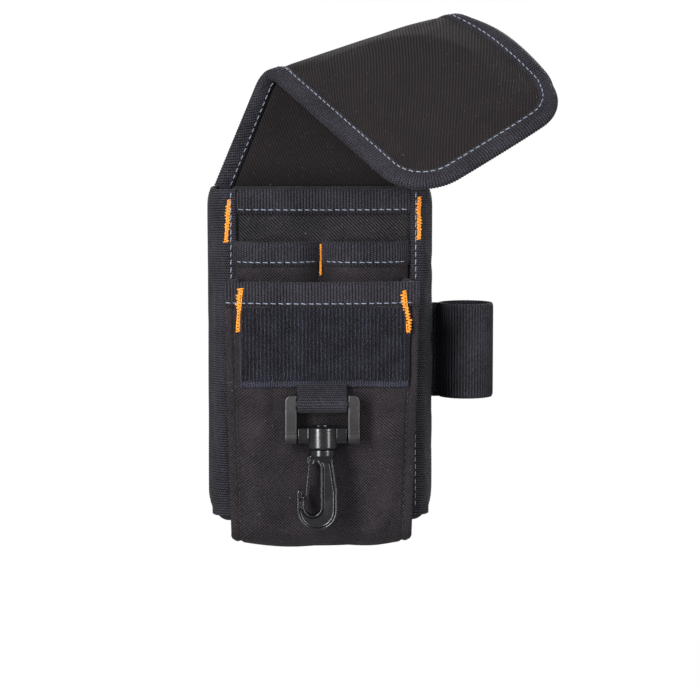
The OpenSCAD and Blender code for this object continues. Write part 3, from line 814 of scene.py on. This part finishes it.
def panel_bulge(x, z):
    """How far the front panel of the main pocket swells, and its soft unevenness."""
    u = x / FRONT_HALF
    v = (z - PANEL_LOW[2]) / (TOP - PANEL_LOW[2])
    swell = 0.9 * (1 - u ** 2) * np.sin(np.pi * np.clip(v, 0, 1))
    return swell + 0.25 * np.sin(x / 9 + 1) * np.sin(z / 12)


CORNER_RISE = 4.5


def make_main_panel():
    """Twill front that turns under the pocket and runs back to the rear seam."""
    radius = 5.0
    low = PANEL_LOW[2] + 0.6
    y0 = FRONT + 0.6
    profile = [(y0, z) for z in np.linspace(TOP, low + radius, 110)]
    profile += [(y0 + radius - radius * math.cos(a), low + radius - radius * math.sin(a))
                for a in np.linspace(0, math.pi / 2, 12)[1:]]
    profile += [(y, low) for y in np.linspace(y0 + radius, PANEL_HIGH[1], 26)[1:]]
    profile = np.array(profile)
    t = np.linspace(-1, 1, 84)
    under = np.clip((profile[:, 0] - y0) / (PANEL_HIGH[1] - y0), 0, 1)
    turned = np.clip(under * 6, 0, 1)
    half = FRONT_HALF + 1.5 + (BAND_HIGH[0] - 2.0 - FRONT_HALF) * turned
    curl = np.clip((np.abs(t) - 0.86) / 0.14, 0, 1) * math.pi / 2
    rise = CORNER_RISE * (1 - np.cos(curl))
    turned = turned[:, None]
    x = half[:, None] * t - np.sign(t) * (curl - np.sin(curl)) * turned * 2
    z = profile[:, 1:] + rise * turned
    y = profile[:, :1] - panel_bulge(x, z) * (1 - np.clip(under * 8, 0, 1)[:, None])
    grid = grid_of(x, y, z)
    panel = add_slab("main_front_panel_cloth", grid[:, ::-1], CLOTH_T, TWILL)
    dress(panel, "main_front_panel")


def make_main_binding():
    x = np.linspace(-FRONT_HALF, FRONT_HALF, 80)
    sag = 0.8 * (1 - (x / FRONT_HALF) ** 2)
    path = np.stack([x, FRONT + 0.6 - sag, TOP - 0.4 - 0.25 * sag], axis=1)
    binding = add_binding("main_pocket_binding_webbing", path, FORWARDS, DOWN, 1.25, BINDING_W)
    fasten(binding, "main_pocket_binding")
    seam = path + np.array([0, -1.6, -BINDING_W + 1.6])
    sew("main_pocket_binding_stitches", stitch_courses(seam, FORWARDS))


# ---- Small tool pockets -------------------------------------------------------------------------


def tool_arc(side, inset, count=90):
    """Plan course of a tool pocket's bulging front, from its outer seam to the middle."""
    low_x, high_x = TOOL_LOW[0] - 0.3, TOOL_HIGH[0]
    centre, half = (low_x + high_x) / 2, (high_x - low_x) / 2 - inset
    depth = FRONT - TOOL_LOW[1] - inset
    t = np.linspace(-1, 1, count)
    t = np.sign(t) * np.abs(t) ** 0.8
    return np.stack([side * (centre + t * half), FRONT - depth * (1 - np.abs(t) ** 3) + 0.3], axis=1)


def make_tool_pocket(side, name):
    arc = tool_arc(side, 0.5)
    z = np.linspace(TOOL_LOW[2], TOOL_HIGH[2] - 0.5, 70)
    fade = np.clip((z - TOOL_LOW[2]) / 14, 0, 1)[:, None]
    grid = grid_of(arc[:, 0], FRONT + (arc[:, 1] - FRONT) * (0.25 + 0.75 * fade), z[:, None])
    if side > 0:
        grid = grid[:, ::-1]
    pocket = add_slab(name + "_cloth", grid, 1.0, BASKET)
    dress(pocket, name)
    edge = tool_arc(side, 0.5, 160)
    path = np.column_stack([edge, np.full(len(edge), TOOL_HIGH[2] + 0.4)])
    tangent = unit(np.gradient(path, axis=0))
    out = np.cross(tangent, [0, 0, 1])
    out = np.where((out[:, 1] > 0)[:, None], -out, out)
    binding = add_binding(name + "_binding_webbing", path, out, DOWN, 0.95, BINDING_W)
    fasten(binding, name + "_binding")
    keep = slice(12, -12)
    seam = (path + out * 1.28 + np.array([0, 0, -BINDING_W + 1.6]))[keep]
    sew(name + "_stitches", stitch_courses(seam, out[keep]))


# ---- Front pocket -------------------------------------------------------------------------------

POCKET_FOOT_DEPTH = 11.0
POCKET_FOOT_HALF = 35.5
FLANGE = 3.9
FACE_T = 1.3
FOOT_CORNER = 1.2
POCKET_DROOP = 2.4
# How far below the loop patch the sewn-on clip webbing keeps the face flat
CLIP_ROOM = 9.0
FACE_ROWS, FACE_COLS = 66, 46


def pocket_half(z):
    share = (z - POCKET_LOW[2]) / (POCKET_HIGH[2] - POCKET_LOW[2])
    return POCKET_FOOT_HALF + (POCKET_HIGH[0] - POCKET_FOOT_HALF) * share


def pocket_face(z):
    """Depth of the pocket's face at height z."""
    foot_y = FRONT - POCKET_FOOT_DEPTH
    share = np.clip((PATCH_LOW[2] - z) / (PATCH_LOW[2] - POCKET_LOW[2]), 0, 1)
    return POCKET_LOW[1] + (foot_y - POCKET_LOW[1]) * share


LOOP_COLUMN = 1.45
LOOP_ROW = 0.6


def face_span(z):
    """Half width of the face's cloth at height z, rounded at its foot."""
    over = np.clip(POCKET_LOW[2] + 0.6 + FOOT_CORNER - z, 0, FOOT_CORNER)
    return pocket_half(z) - 0.2 - FOOT_CORNER + np.sqrt(np.maximum(0, FOOT_CORNER ** 2 - over ** 2))


def face_relief(x, z):
    """Dent of the topstitching, rounded edges and the slack dimples of worn cloth."""
    half = pocket_half(z)
    inside = np.clip(1 - (x / (half - FLANGE)) ** 2, 0, 1)
    below = np.clip((PATCH_LOW[2] - CLIP_ROOM - z) / 14, 0, 1)
    dimples = (1.6 * np.sin(x / 7.5 + z / 19) * np.sin(z / 13 + 0.7)
               + 0.6 * np.sin(x / 4.1 - z / 9 + 1.3) * np.sin(z / 6.3)) * inside * below
    groove = -0.6 * np.exp(-((np.abs(x) - half + FLANGE) / 0.8) ** 2)
    rim = -0.6 * np.exp(-np.maximum(face_span(z) - np.abs(x), 0) / 0.5)
    return dimples + groove + rim


def settled_face():
    """The pocket's face, slack between its topstitched edges and under its bound mouth."""
    low, high = POCKET_LOW[2] + 0.6, POCKET_HIGH[2]
    z = np.linspace(low, high, FACE_ROWS)[:, None] + np.zeros((FACE_ROWS, FACE_COLS))
    t = np.linspace(-1, 1, FACE_COLS)[None, :]
    x = t * face_span(z)
    droop = POCKET_DROOP * (1 - t ** 2) * np.clip((low + 25 - z) / 25, 0, 1)
    foot = np.clip((low + 4 - z) / 4, 0, 1)
    y = pocket_face(z) + 0.9 + 2.2 * foot ** 2
    grid = grid_of(x, y, z - droop)
    pinned = (np.abs(x) > pocket_half(z) - FLANGE - 1) | (z > high - BINDING_W) | (z < low + 1)
    pinned |= (np.abs(x) < CLIP_WEB_HIGH[0] + 10) & (z > PATCH_LOW[2] - CLIP_ROOM)
    return settle(grid, pinned, pressure=0.9, slack=0.03, limit=2.6, gravity=1.0)


def face_depth(face, x, z):
    """Depth of the settled face where it is crossed at x and z."""
    low, high = POCKET_LOW[2] + 0.6, POCKET_HIGH[2]
    row = np.clip((z - low) / (high - low), 0, 0.9999) * (FACE_ROWS - 1)
    col = np.clip((x / face_span(z) + 1) / 2, 0, 0.9999) * (FACE_COLS - 1)
    i, j = row.astype(int), col.astype(int)
    a, b = row - i, col - j
    depth = face[..., 1]
    return ((depth[i, j] * (1 - b) + depth[i, j + 1] * b) * (1 - a)
            + (depth[i + 1, j] * (1 - b) + depth[i + 1, j + 1] * b) * a)


def make_pocket_face(face):
    grid = refine(face, 0, 1, 1)
    x, z = grid[..., 0], grid[..., 2]
    relief = face_relief(x, z)
    back = np.where(np.abs(x) > pocket_half(z) - FLANGE, 1.1, 0.0) - relief * 0.6
    cloth = add_slab("front_pocket_face_cloth", grid, FACE_T, BASKET, relief, back)
    dress(cloth, "front_pocket")
    courses = []
    for side in (-1, 1):
        z = np.linspace(POCKET_HIGH[2] - BINDING_W - 1, POCKET_LOW[2] + 3, 120)
        x = side * (pocket_half(z) - FLANGE)
        path = np.stack([x, face_depth(face, x, z) - FACE_T / 2 + 0.45, z], axis=1)
        courses += stitch_courses(path, FORWARDS, 0.1)
    sew("front_pocket_topstitches", courses, BLACK_THREAD)


def make_pocket_gusset():
    """Bellows of the front pocket: down one side, under the foot and up the other side."""
    radius = 5.0
    low, high = POCKET_LOW[2] + 1.2, POCKET_HIGH[2]
    side_z = np.linspace(high, low + radius, 70)
    inner = FLANGE - 0.6
    left = [(-(pocket_half(z) - inner), z) for z in side_z]
    foot_half = pocket_half(low) - inner
    corner = [(-(foot_half - radius + radius * math.cos(a)), low + radius - radius * math.sin(a))
              for a in np.linspace(0, math.pi / 2, 9)[1:]]
    middle = [(x, low) for x in np.linspace(-foot_half + radius, foot_half - radius, 50)[1:-1]]
    course = left + corner + middle
    course += [(-x, z) for x, z in corner[::-1]] + [(-x, z) for x, z in left[::-1]]
    course = np.array(course)
    tangent = unit(np.gradient(course, axis=0))
    inward = np.stack([-tangent[:, 1], tangent[:, 0]], axis=1)
    s = np.linspace(0, 1, 18)
    dip = 2.0 * np.sin(np.pi * s) - 2.2 * s ** 2
    climb = 5.0 * s ** 2
    droop = POCKET_DROOP * np.clip(1 - (course[:, 0] / foot_half) ** 2, 0, 1) * np.abs(inward[:, 1])
    front_y = pocket_face(course[:, 1]) + 1.9
    rear_y = FRONT - 0.2 + 1.8 * np.abs(inward[:, 1])
    grid = grid_of(course[:, :1] + inward[:, :1] * dip, front_y[:, None] + (rear_y - front_y)[:, None] * s,
                   course[:, 1:] + inward[:, 1:] * climb - droop[:, None] * (1 - s))
    pinned = np.ones(grid.shape[:2], bool)
    pinned[3:-3, 2:-2] = False
    grid = refine(settle(grid, pinned, pressure=0.4, slack=0.03, limit=2.0), 0, 1)
    gusset = add_slab("front_pocket_gusset_cloth", grid, CLOTH_T, BASKET)
    dress(gusset, "front_pocket")


def make_pocket_binding():
    """Bindings over the pocket's mouth: one along the face, and one back along each bellows."""
    z = POCKET_HIGH[2] + 0.2
    half = pocket_half(POCKET_HIGH[2]) - 0.5
    face_y = POCKET_LOW[1] + 0.9
    x = np.linspace(-half, half, 110)
    slack = 1 - (x / half) ** 2
    front = np.column_stack([x, face_y - 0.5 * slack, z - 0.5 * slack])
    runs = [("front_pocket_binding_webbing", front, FORWARDS, 1.3)]
    for side, name in ((-1, "left"), (1, "right")):
        inner = half - FLANGE + 0.9
        wall = straight((side * inner, face_y + 1.6, z - 0.1), (side * (inner - 2), FRONT - 0.4, z - 0.1), 30)
        runs.append(("front_pocket_binding_" + name, wall, (side, 0, 0), 1.1))
    for name, path, out, half_thick in runs:
        binding = add_binding(name, path, out, DOWN, half_thick, BINDING_W)
        fasten(binding, "front_pocket_binding")
    seam = front + np.array([0, -1.62, -BINDING_W + 1.4])
    sew("front_pocket_binding_stitches", stitch_courses(seam, FORWARDS))


def make_loop_patch(face):
    """Loop tape: rows of tiny loops on a woven ground, above a ribbed selvedge."""
    selvedge = 2.5
    rows, cols = 90, 190
    x, z = np.meshgrid(np.linspace(PATCH_LOW[0], PATCH_HIGH[0], cols),
                       np.linspace(PATCH_LOW[2] + selvedge, PATCH_HIGH[2], rows))
    lift = FACE_T / 2 + 0.55
    grid = grid_of(x, face_depth(face, x, z) - lift, z)
    edge = np.minimum(x - PATCH_LOW[0], np.minimum(PATCH_HIGH[0] - x, PATCH_HIGH[2] - z))
    columns = np.abs(np.sin(np.pi * (x - PATCH_LOW[0] - 0.08) / LOOP_COLUMN))
    relief = 0.5 * columns + 0.2 * rng.random((rows, cols)) - 0.6 * np.exp(-edge / 0.5)
    patch = add_slab("loop_patch_ground", grid, 1.0, PILE_GROUND, relief)
    dress(patch, "loop_patch")
    courses = []
    arch = np.linspace(0, np.pi, 5)
    for number, spot_x in enumerate(np.arange(PATCH_LOW[0] + 0.8, PATCH_HIGH[0] - 0.6, LOOP_COLUMN)):
        step = LOOP_ROW * (number % 2) / 2
        for spot_z in np.arange(PATCH_LOW[2] + selvedge + 0.5 + step, PATCH_HIGH[2] - 0.6, LOOP_ROW):
            at_x, at_z = spot_x + rng.uniform(-0.2, 0.2), spot_z + rng.uniform(-0.14, 0.14)
            turn = math.pi / 2 + rng.uniform(-0.7, 0.7)
            reach, height = rng.uniform(0.3, 0.48), rng.uniform(0.5, 1.0)
            root = float(face_depth(face, np.array([at_x]), np.array([at_z]))[0]) - lift - 0.55
            run = -np.cos(arch) * reach
            courses.append(np.stack([at_x + run * math.cos(turn), root - np.sin(arch) * height,
                                     at_z + run * math.sin(turn)], axis=1))
    loops = add_tubes("loop_patch_loops", courses, 0.15, PILE, sides=4)
    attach(loops, "pouch")
    x, z = np.meshgrid(np.linspace(PATCH_LOW[0] + 0.3, PATCH_HIGH[0] - 0.3, 330),
                       np.linspace(PATCH_LOW[2], PATCH_LOW[2] + selvedge, 8))
    grid = grid_of(x, face_depth(face, x, z) - FACE_T / 2 - 0.4, z)
    ribs = rib_relief(x - x.min(), BAND_RIB_PITCH, 0.25)
    band = add_slab("loop_patch_selvedge", grid, 0.7, SELVEDGE, ribs,
                    rib_pitch=BAND_RIB_PITCH, spin=True)
    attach(band, "pouch")


# ---- Clip webbing and clip ----------------------------------------------------------------------


def make_clip_webbing():
    """Doubled webbing that comes from under the loop patch and wraps the frame's bar."""
    pos = next(j for j in frame["joints"] if j["name"] == "clip_frame_swing")["pos_m"]
    bar_y, bar_z = pos[1] / MM, pos[2] / MM
    radius = 3.05
    top_z = PATCH_LOW[2] + 1.0
    face = POCKET_LOW[1]
    outer_top, inner_top = face - 1.9, face - 0.7
    front = [(outer_top, top_z)]
    front += [(bar_y - radius * math.cos(a), bar_z - radius * math.sin(a))
              for a in np.linspace(-0.75, math.pi + 0.1, 40)]
    front += [(inner_top, top_z - 1.5), (inner_top, top_z)]
    course, stations = resample(front, BAND_RIB_PITCH / RIB_SAMPLES)
    half = CLIP_WEB_HIGH[0]
    x = np.linspace(-half, half, 26)
    grid = grid_of(x, course[:, :1], course[:, 1:])
    ribs = rib_relief(stations, BAND_RIB_PITCH, 0.22)[:, None]
    ribs = ribs - 0.3 * np.exp(-(half - np.abs(x)) / 0.5)[None, :]
    webbing = add_slab("clip_webbing_loop", grid[::-1], 0.8, WEBBING, ribs[::-1],
                       rib_pitch=BAND_RIB_PITCH)
    dress(webbing, "clip_webbing")


CHANNEL_TOP = 12.0


def sink(mesh, depth, rim, below):
    """Sink a flat moulding's front and back inside a raised rim, for an I-shaped section."""
    count = len(mesh.vertices)
    spots, normals = np.empty(count * 3), np.empty(count * 3)
    mesh.vertices.foreach_get("co", spots)
    mesh.vertices.foreach_get("normal", normals)
    spots, normals = spots.reshape(-1, 3) / MM, normals.reshape(-1, 3)
    walls = np.flatnonzero(np.abs(normals[:, 1]) < 0.5)
    outline = KDTree(len(walls))
    for k in walls:
        outline.insert((spots[k, 0], 0, spots[k, 2]), int(k))
    outline.balance()
    for k in np.flatnonzero((np.abs(normals[:, 1]) > 0.8) & (spots[:, 2] < below)):
        gap = outline.find((spots[k, 0], 0, spots[k, 2]))[2]
        share = min(max((gap - rim) / 0.45, 0), 1)
        fade = min((below - spots[k, 2]) / 1.5, 1)
        spots[k, 1] -= math.copysign(depth * share * fade, normals[k, 1])
    mesh.vertices.foreach_set("co", (spots * MM).ravel())


def baked(piece):
    """The piece's mesh with its modifiers applied and taken off."""
    bpy.context.view_layer.update()
    mesh = bpy.data.meshes.new_from_object(piece.evaluated_get(bpy.context.evaluated_depsgraph_get()))
    piece.modifiers.clear()
    piece.data = mesh
    return mesh


def soften(node, material, voxel=0.22, rounds=6, channel=0.0):
    """A moulded copy of a hard CAD piece, with the small radii that moulding leaves on its edges."""
    source = frame["nodes"][node]
    mesh = source.data.copy()
    mesh.name = node + "_moulded"
    mesh.materials.clear()
    mesh.materials.append(material)
    piece = bpy.data.objects.new(node + "_moulded", mesh)
    bpy.context.scene.collection.objects.link(piece)
    remesh = piece.modifiers.new("even", "REMESH")
    remesh.mode = "VOXEL"
    remesh.voxel_size = voxel * MM
    smooth = piece.modifiers.new("soften", "SMOOTH")
    smooth.factor = 0.5
    smooth.iterations = rounds
    ready = baked(piece)
    if channel:
        sink(ready, channel, 0.75, box(node)[1][2] - CHANNEL_TOP)
        piece.modifiers.new("round_rims", "SMOOTH").iterations = 7
        ready = baked(piece)
    ready.name = node + "_moulded"
    ready.polygons.foreach_set("use_smooth", [True] * len(ready.polygons))
    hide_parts(node)
    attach(piece, node)
    return piece


# ---- Flashlight sleeve --------------------------------------------------------------------------


def make_sleeve():
    """Webbing wrapped round a flashlight's barrel, its two ends doubled into a tab at the side seam."""
    mount = next(m for m in frame["record"]["mounts"] if m["name"] == "flashlight_loop")
    centre_x, centre_y = mount["pos_m"][0] / MM, mount["pos_m"][1] / MM
    bore = mount["dims"]["r_mm"]
    radius = bore + 0.85
    tab_x = SLEEVE_LOW[0] + 0.6
    lift = 1.0
    spread = math.asin(lift / radius)
    ring = [(centre_x - radius * math.cos(a), centre_y - radius * math.sin(a))
            for a in np.linspace(spread, 2 * math.pi - spread, 160)]
    front_tab = [(x, centre_y - lift) for x in np.linspace(tab_x, ring[0][0] - 0.4, 20)]
    back_tab = [(x, centre_y + lift) for x in np.linspace(ring[-1][0] - 0.4, tab_x, 20)]
    pitch = 1.15
    course, stations = resample(front_tab + ring + back_tab, pitch / RIB_SAMPLES)
    z = np.linspace(SLEEVE_LOW[2], SLEEVE_HIGH[2], 40)
    grid = grid_of(*course.T, z[:, None])
    ribs = rib_relief(stations, pitch, 0.3)
    ribs = ribs - 0.4 * np.exp(-np.minimum(z - z[0], z[-1] - z) / 0.5)[:, None]
    sleeve = add_slab("flashlight_loop_webbing", grid, 1.0, WEBBING, ribs - 0.05, -0.05,
                      rib_pitch=pitch, spin=True)
    dress(sleeve, "flashlight_loop")
    x = (tab_x + ring[0][0]) / 2
    y = centre_y - lift - 0.75
    path = straight((x, y, SLEEVE_HIGH[2] - 1), (x, y, SLEEVE_LOW[2] + 1))
    sew("flashlight_loop_stitches", stitch_courses(path, FORWARDS, 0.2), BLACK_THREAD)


# ---- Bartacks -----------------------------------------------------------------------------------

TACK_HALF = 0.95
TACK_STEP = 0.58


def tack_courses(top, low, half, bow):
    """Satin zigzag over two core threads, from a tack's top centre to its lower centre."""
    top, low = np.array(top, float), np.array(low, float)
    length = np.linalg.norm(low - top)
    along = (low - top) / length
    across = unit(np.cross(along, [0.0, -1.0, 0.0]))
    out = unit(np.cross(across, along))
    out = -out if out[1] > 0 else out
    points = []
    for k in range(int(length / TACK_STEP) + 1):
        share = k * TACK_STEP / length
        side = (1 if k % 2 else -1) * half * rng.uniform(0.55, 1.3)
        points.append(top + (low - top) * share + across * (side + bow * math.sin(2 * math.pi * share)))
    zigzag, stations = resample(points, 0.3)
    swing = np.sum((zigzag - top) * across, axis=1) / half
    zigzag = zigzag + out * (0.34 * np.sqrt(np.clip(1 - swing ** 2, 0, 1)))[:, None]
    cores = [straight(top, low, 12) + across * offset + out * 0.05 for offset in (-0.45 * half, 0.45 * half)]
    return [zigzag] + cores


def make_bartacks():
    left_x, right_x, body_y = -hem_x(-1), hem_x(1) + 3.3, FRONT - 1.75
    pocket_y, pocket_top, tool_top = POCKET_LOW[1] - 1.05, POCKET_HIGH[2], TOOL_HIGH[2]
    # Each tack's top centre, lower centre, half width and sideways bow
    tacks = (((left_x - 2.6, body_y, TOP - 4), (left_x - 4.0, body_y, TOP - 21), TACK_HALF, 0.15),
             ((right_x, body_y, TOP - 3), (right_x, body_y, TOP - 20), TACK_HALF, 0.15),
             ((0, FRONT - 1.0, tool_top - 0.5), (0, FRONT - 1.0, tool_top - 13), 0.5, 0.0),
             ((-31.0, pocket_y, pocket_top - 2), (-32.4, pocket_y + 0.1, pocket_top - 19), 1.15, 0.6),
             ((31.6, pocket_y, pocket_top - 3), (33.2, pocket_y - 0.6, pocket_top - 19.5), 1.15, 0.6))
    courses = [course for tack in tacks for course in tack_courses(*tack)]
    thread = add_tubes("bartacks_thread", courses, 0.24, ORANGE_THREAD)
    fasten(thread, "bartacks")


# ---- Flap ---------------------------------------------------------------------------------------
# The flap's course repeats the design's: it rises from the back seam, folds over along a slanting
# line and falls forward to the right. u runs across from the centre line, s along from the seam.

FLAP_W = 84.0
FLAP_LEN = 154.0
FLAP_CORNER = 21.0
FLAP_BINDING = 7.5
FLAP_BINDING_HALF = 1.75
SEAM_Y = BACK_HIGH[1] - 2
FOLD_LEFT = np.array([-22.0, -16.0, 84.6])
FOLD_RIGHT = np.array([59.0, -3.6, 112.0])
FALL = unit(np.array([0.55, -0.68, -0.49]))
FOLD_REACH = 9.0
FOLD_CROWN = 4.2
FOLD_DROOP = np.array([-3.4, 0.0, -3.8])
FOLD_LINE = unit(FOLD_RIGHT - FOLD_LEFT)
CORNER_CURL = 4.2
SPLIT = 0.82


def corner_of(u):
    """Where the two straight stretches would meet, and the first one's direction and length."""
    u = np.asarray(u, float)
    seam = np.stack([u, SEAM_Y + 0 * u, TOP + 0 * u], axis=-1)
    fold = FOLD_LEFT + (FOLD_RIGHT - FOLD_LEFT) * (u / FLAP_W + 0.5)[..., None]
    corner = fold + FOLD_CROWN * unit(unit(fold - seam) - FALL)
    rise = corner - seam
    far = np.linalg.norm(rise, axis=-1)
    return seam, corner, rise / far[..., None], far


def flap_at(u, s):
    seam, corner, rise, far = corner_of(u)
    first = seam + rise * s[..., None]
    last = corner + FALL * (s - far)[..., None]
    k = np.clip((s - far + FOLD_REACH) / (2 * FOLD_REACH), 0, 1)[..., None]
    bend = ((corner - rise * FOLD_REACH) * (1 - k) ** 2 + corner * 2 * k * (1 - k)
            + (corner + FALL * FOLD_REACH) * k ** 2)
    near = (s < far - FOLD_REACH)[..., None]
    beyond = (s > far + FOLD_REACH)[..., None]
    sharp = np.where(near, first, np.where(beyond, last, bend))
    right = np.clip((u - 8) / (FLAP_W / 2 - 8), 0, 1) ** 2
    droop = right * np.exp(-((s - far) / 17) ** 2)
    curl = right * np.clip((s - far - 28) / 38, 0, 1) ** 2
    return sharp + FOLD_DROOP * droop[..., None] - FOLD_LINE * (CORNER_CURL * curl)[..., None]


def flap_out(u, s):
    """The outer side's normal, which shows when the flap is closed."""
    across = flap_at(u + 0.5, s) - flap_at(u - 0.5, s)
    along = flap_at(u, s + 0.5) - flap_at(u, s - 0.5)
    return -unit(np.cross(across, along))


def corner_cut(u, half, radius):
    over = np.clip(np.abs(u) - half + radius, 0, radius)
    return radius - np.sqrt(np.maximum(0, radius ** 2 - over ** 2))


INNER_HALF = FLAP_W / 2 - FLAP_BINDING + 1.2
INNER_CORNER = FLAP_CORNER - FLAP_BINDING + 1.2
INNER_LEN = FLAP_LEN - FLAP_BINDING + 1.2


def bend_lower(piece):
    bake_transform(piece)


def bend_upper(piece):
    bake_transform(piece)


def flap_grid(starts, stops, rows, cols):
    """Grid of (u, s) over the panel between two courses along s, each a function of u."""
    u = INNER_HALF * np.sin(np.linspace(-np.pi / 2, np.pi / 2, cols))
    share = np.linspace(0, 1, rows)[:, None]
    s = starts(u)[None, :] * (1 - share) + stops(u)[None, :] * share
    return np.broadcast_to(u[None, :], s.shape), s


def make_flap_panels():
    def split(u):
        return SPLIT * corner_of(u)[3]

    def free_end(u):
        return INNER_LEN - corner_cut(u, INNER_HALF, INNER_CORNER)

    for name, starts, stops, rows, nodes, bend in (
            ("flap_lower_cloth", lambda u: 0 * u, split, 30, ["flap_seam_panel"], bend_lower),
            ("flap_upper_cloth", split, free_end, 64, ["flap_rear_panel", "flap_front_panel"], bend_upper)):
        u, s = flap_grid(starts, stops, rows, 44)
        grid = flap_at(u, s)[:, ::-1]
        edge = np.minimum(INNER_HALF - np.abs(u), free_end(u) - s)[:, ::-1]
        pinned = edge < 1.2
        pinned[0] = True
        if name == "flap_lower_cloth":
            pinned[-1] = True
        swollen = settle(grid, pinned, pressure=1.2, slack=0.008, limit=2.6)
        puff = np.sum((swollen - grid) * surface_normals(grid), axis=2)
        puff *= 1 - 0.85 * np.exp(-((s - corner_of(u)[3])[:, ::-1] / 9) ** 2)
        fine = refine(np.concatenate([grid, puff[..., None], edge[..., None]], axis=2), 0, 1)
        grid, puff, edge = fine[..., :3], fine[..., 3], fine[..., 4]
        tuck = 0.7 * (1 - np.exp(-np.clip(edge, 0, None) / 2.2))
        panel = add_slab(name, grid, 2.0, FLAP_TWILL, puff * 0.9 + tuck, puff * 0.35 + tuck)
        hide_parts(*nodes)
        bend(panel)


def flap_border(inset, lower):
    """Course of a line inset from the flap's edge, as (u, s); the lower part is its two sides."""
    half, radius, low = FLAP_W / 2 - inset, FLAP_CORNER - inset, FLAP_LEN - FLAP_CORNER
    split = SPLIT * corner_of(np.array([-half, half]))[3]
    if lower:
        return [np.column_stack([np.full(60, side * half), np.linspace(0.2, split[(side + 1) // 2], 60)])
                for side in (-1, 1)]
    turn = np.linspace(0, np.pi / 2, 40)
    left = np.column_stack([np.full(120, -half), np.linspace(split[0], low, 120)])
    first = np.column_stack([-half + radius - radius * np.cos(turn), low + radius * np.sin(turn)])
    flat = np.column_stack([np.linspace(-half + radius, half - radius, 80), np.full(80, low + radius)])
    second = np.column_stack([half - radius + radius * np.sin(turn), low + radius * np.cos(turn)])
    right = np.column_stack([np.full(100, half), np.linspace(low, split[1], 100)])
    return [np.concatenate([left, first[1:], flat[1:], second[1:], right[1:]])]


def flap_line(course, raise_by=0.0):
    u, s = course[:, 0], course[:, 1]
    return flap_at(u, s) + flap_out(u, s) * raise_by


def make_flap_bindings():
    for part, lower, nodes, bend in (
            ("lower", True, ["flap_seam_binding"], bend_lower),
            ("upper", False, ["flap_rear_binding", "flap_front_binding"], bend_upper)):
        edges, insides = flap_border(0.0, lower), flap_border(FLAP_BINDING, lower)
        seams = flap_border(FLAP_BINDING - 1.3, lower)
        courses = []
        for k, (edge, inside) in enumerate(zip(edges, insides)):
            path = flap_line(edge)
            normal = flap_out(edge[:, 0], edge[:, 1])
            inward = unit(flap_line(inside) - path)
            side = "" if len(edges) == 1 else ("_left", "_right")[k]
            name = "flap_" + part + "_binding" + side
            binding = add_binding(name, path, normal, inward, FLAP_BINDING_HALF, FLAP_BINDING)
            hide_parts(*nodes)
            bend(binding)
            seam = seams[k]
            for sign in (1, -1):
                out = flap_out(seam[:, 0], seam[:, 1]) * sign
                courses += stitch_courses(flap_line(seam, sign * 2.08), out, 0.15)
        stitches = add_tubes("flap_" + part + "_stitches", courses, STITCH_RADIUS, GREY_THREAD)
        bend(stitches)


def make_hook_strip():
    """Hook tape on the underside near the free end, with a plain border round its hooks."""
    strip_w, strip_h = 50.0, 26.0
    low = FLAP_LEN - FLAP_BINDING - 3
    u = np.linspace(-strip_w / 2, strip_w / 2, 100)
    s = np.linspace(low - strip_h, low, 56)
    u, s = np.meshgrid(u, s)
    grid = flap_at(u, s) - flap_out(u, s) * 1.6
    edge = np.minimum(strip_w / 2 - np.abs(u), np.minimum(s - s.min(), s.max() - s))
    teeth = np.where(edge > 2, 0.4 * (np.sin(u * 4.2) > 0.2) * (np.sin(s * 4.2) > 0.2), 0.0)
    strip = add_slab("hook_strip_tape", grid, 1.0, HOOK_TAPE, teeth - 0.3 * np.exp(-edge / 0.4))
    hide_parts("hook_strip")
    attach(strip, "flap_front")


# ---- Build --------------------------------------------------------------------------------------

add_camera()
add_studio()
make_back()
make_back_tape()
make_belt_loop()
make_side_band(-1, "side_band_left")
make_side_band(1, "side_band_right")
make_main_panel()
make_main_binding()
make_tool_pocket(-1, "tool_pocket_left")
make_tool_pocket(1, "tool_pocket_right")
pocket_cloth = settled_face()
make_pocket_face(pocket_cloth)
make_pocket_gusset()
make_pocket_binding()
make_loop_patch(pocket_cloth)
make_clip_webbing()
soften("clip_frame", FRAME_PLASTIC_PAINTED_REFLECTION)
soften("clip_yoke", HOOK_PLASTIC, rounds=3)
soften("clip_hook", HOOK_PLASTIC, channel=1.1)
soften("clip_gate", HOOK_PLASTIC, voxel=0.16, rounds=3)
make_sleeve()
make_bartacks()
make_flap_panels()
make_flap_bindings()
make_hook_strip()
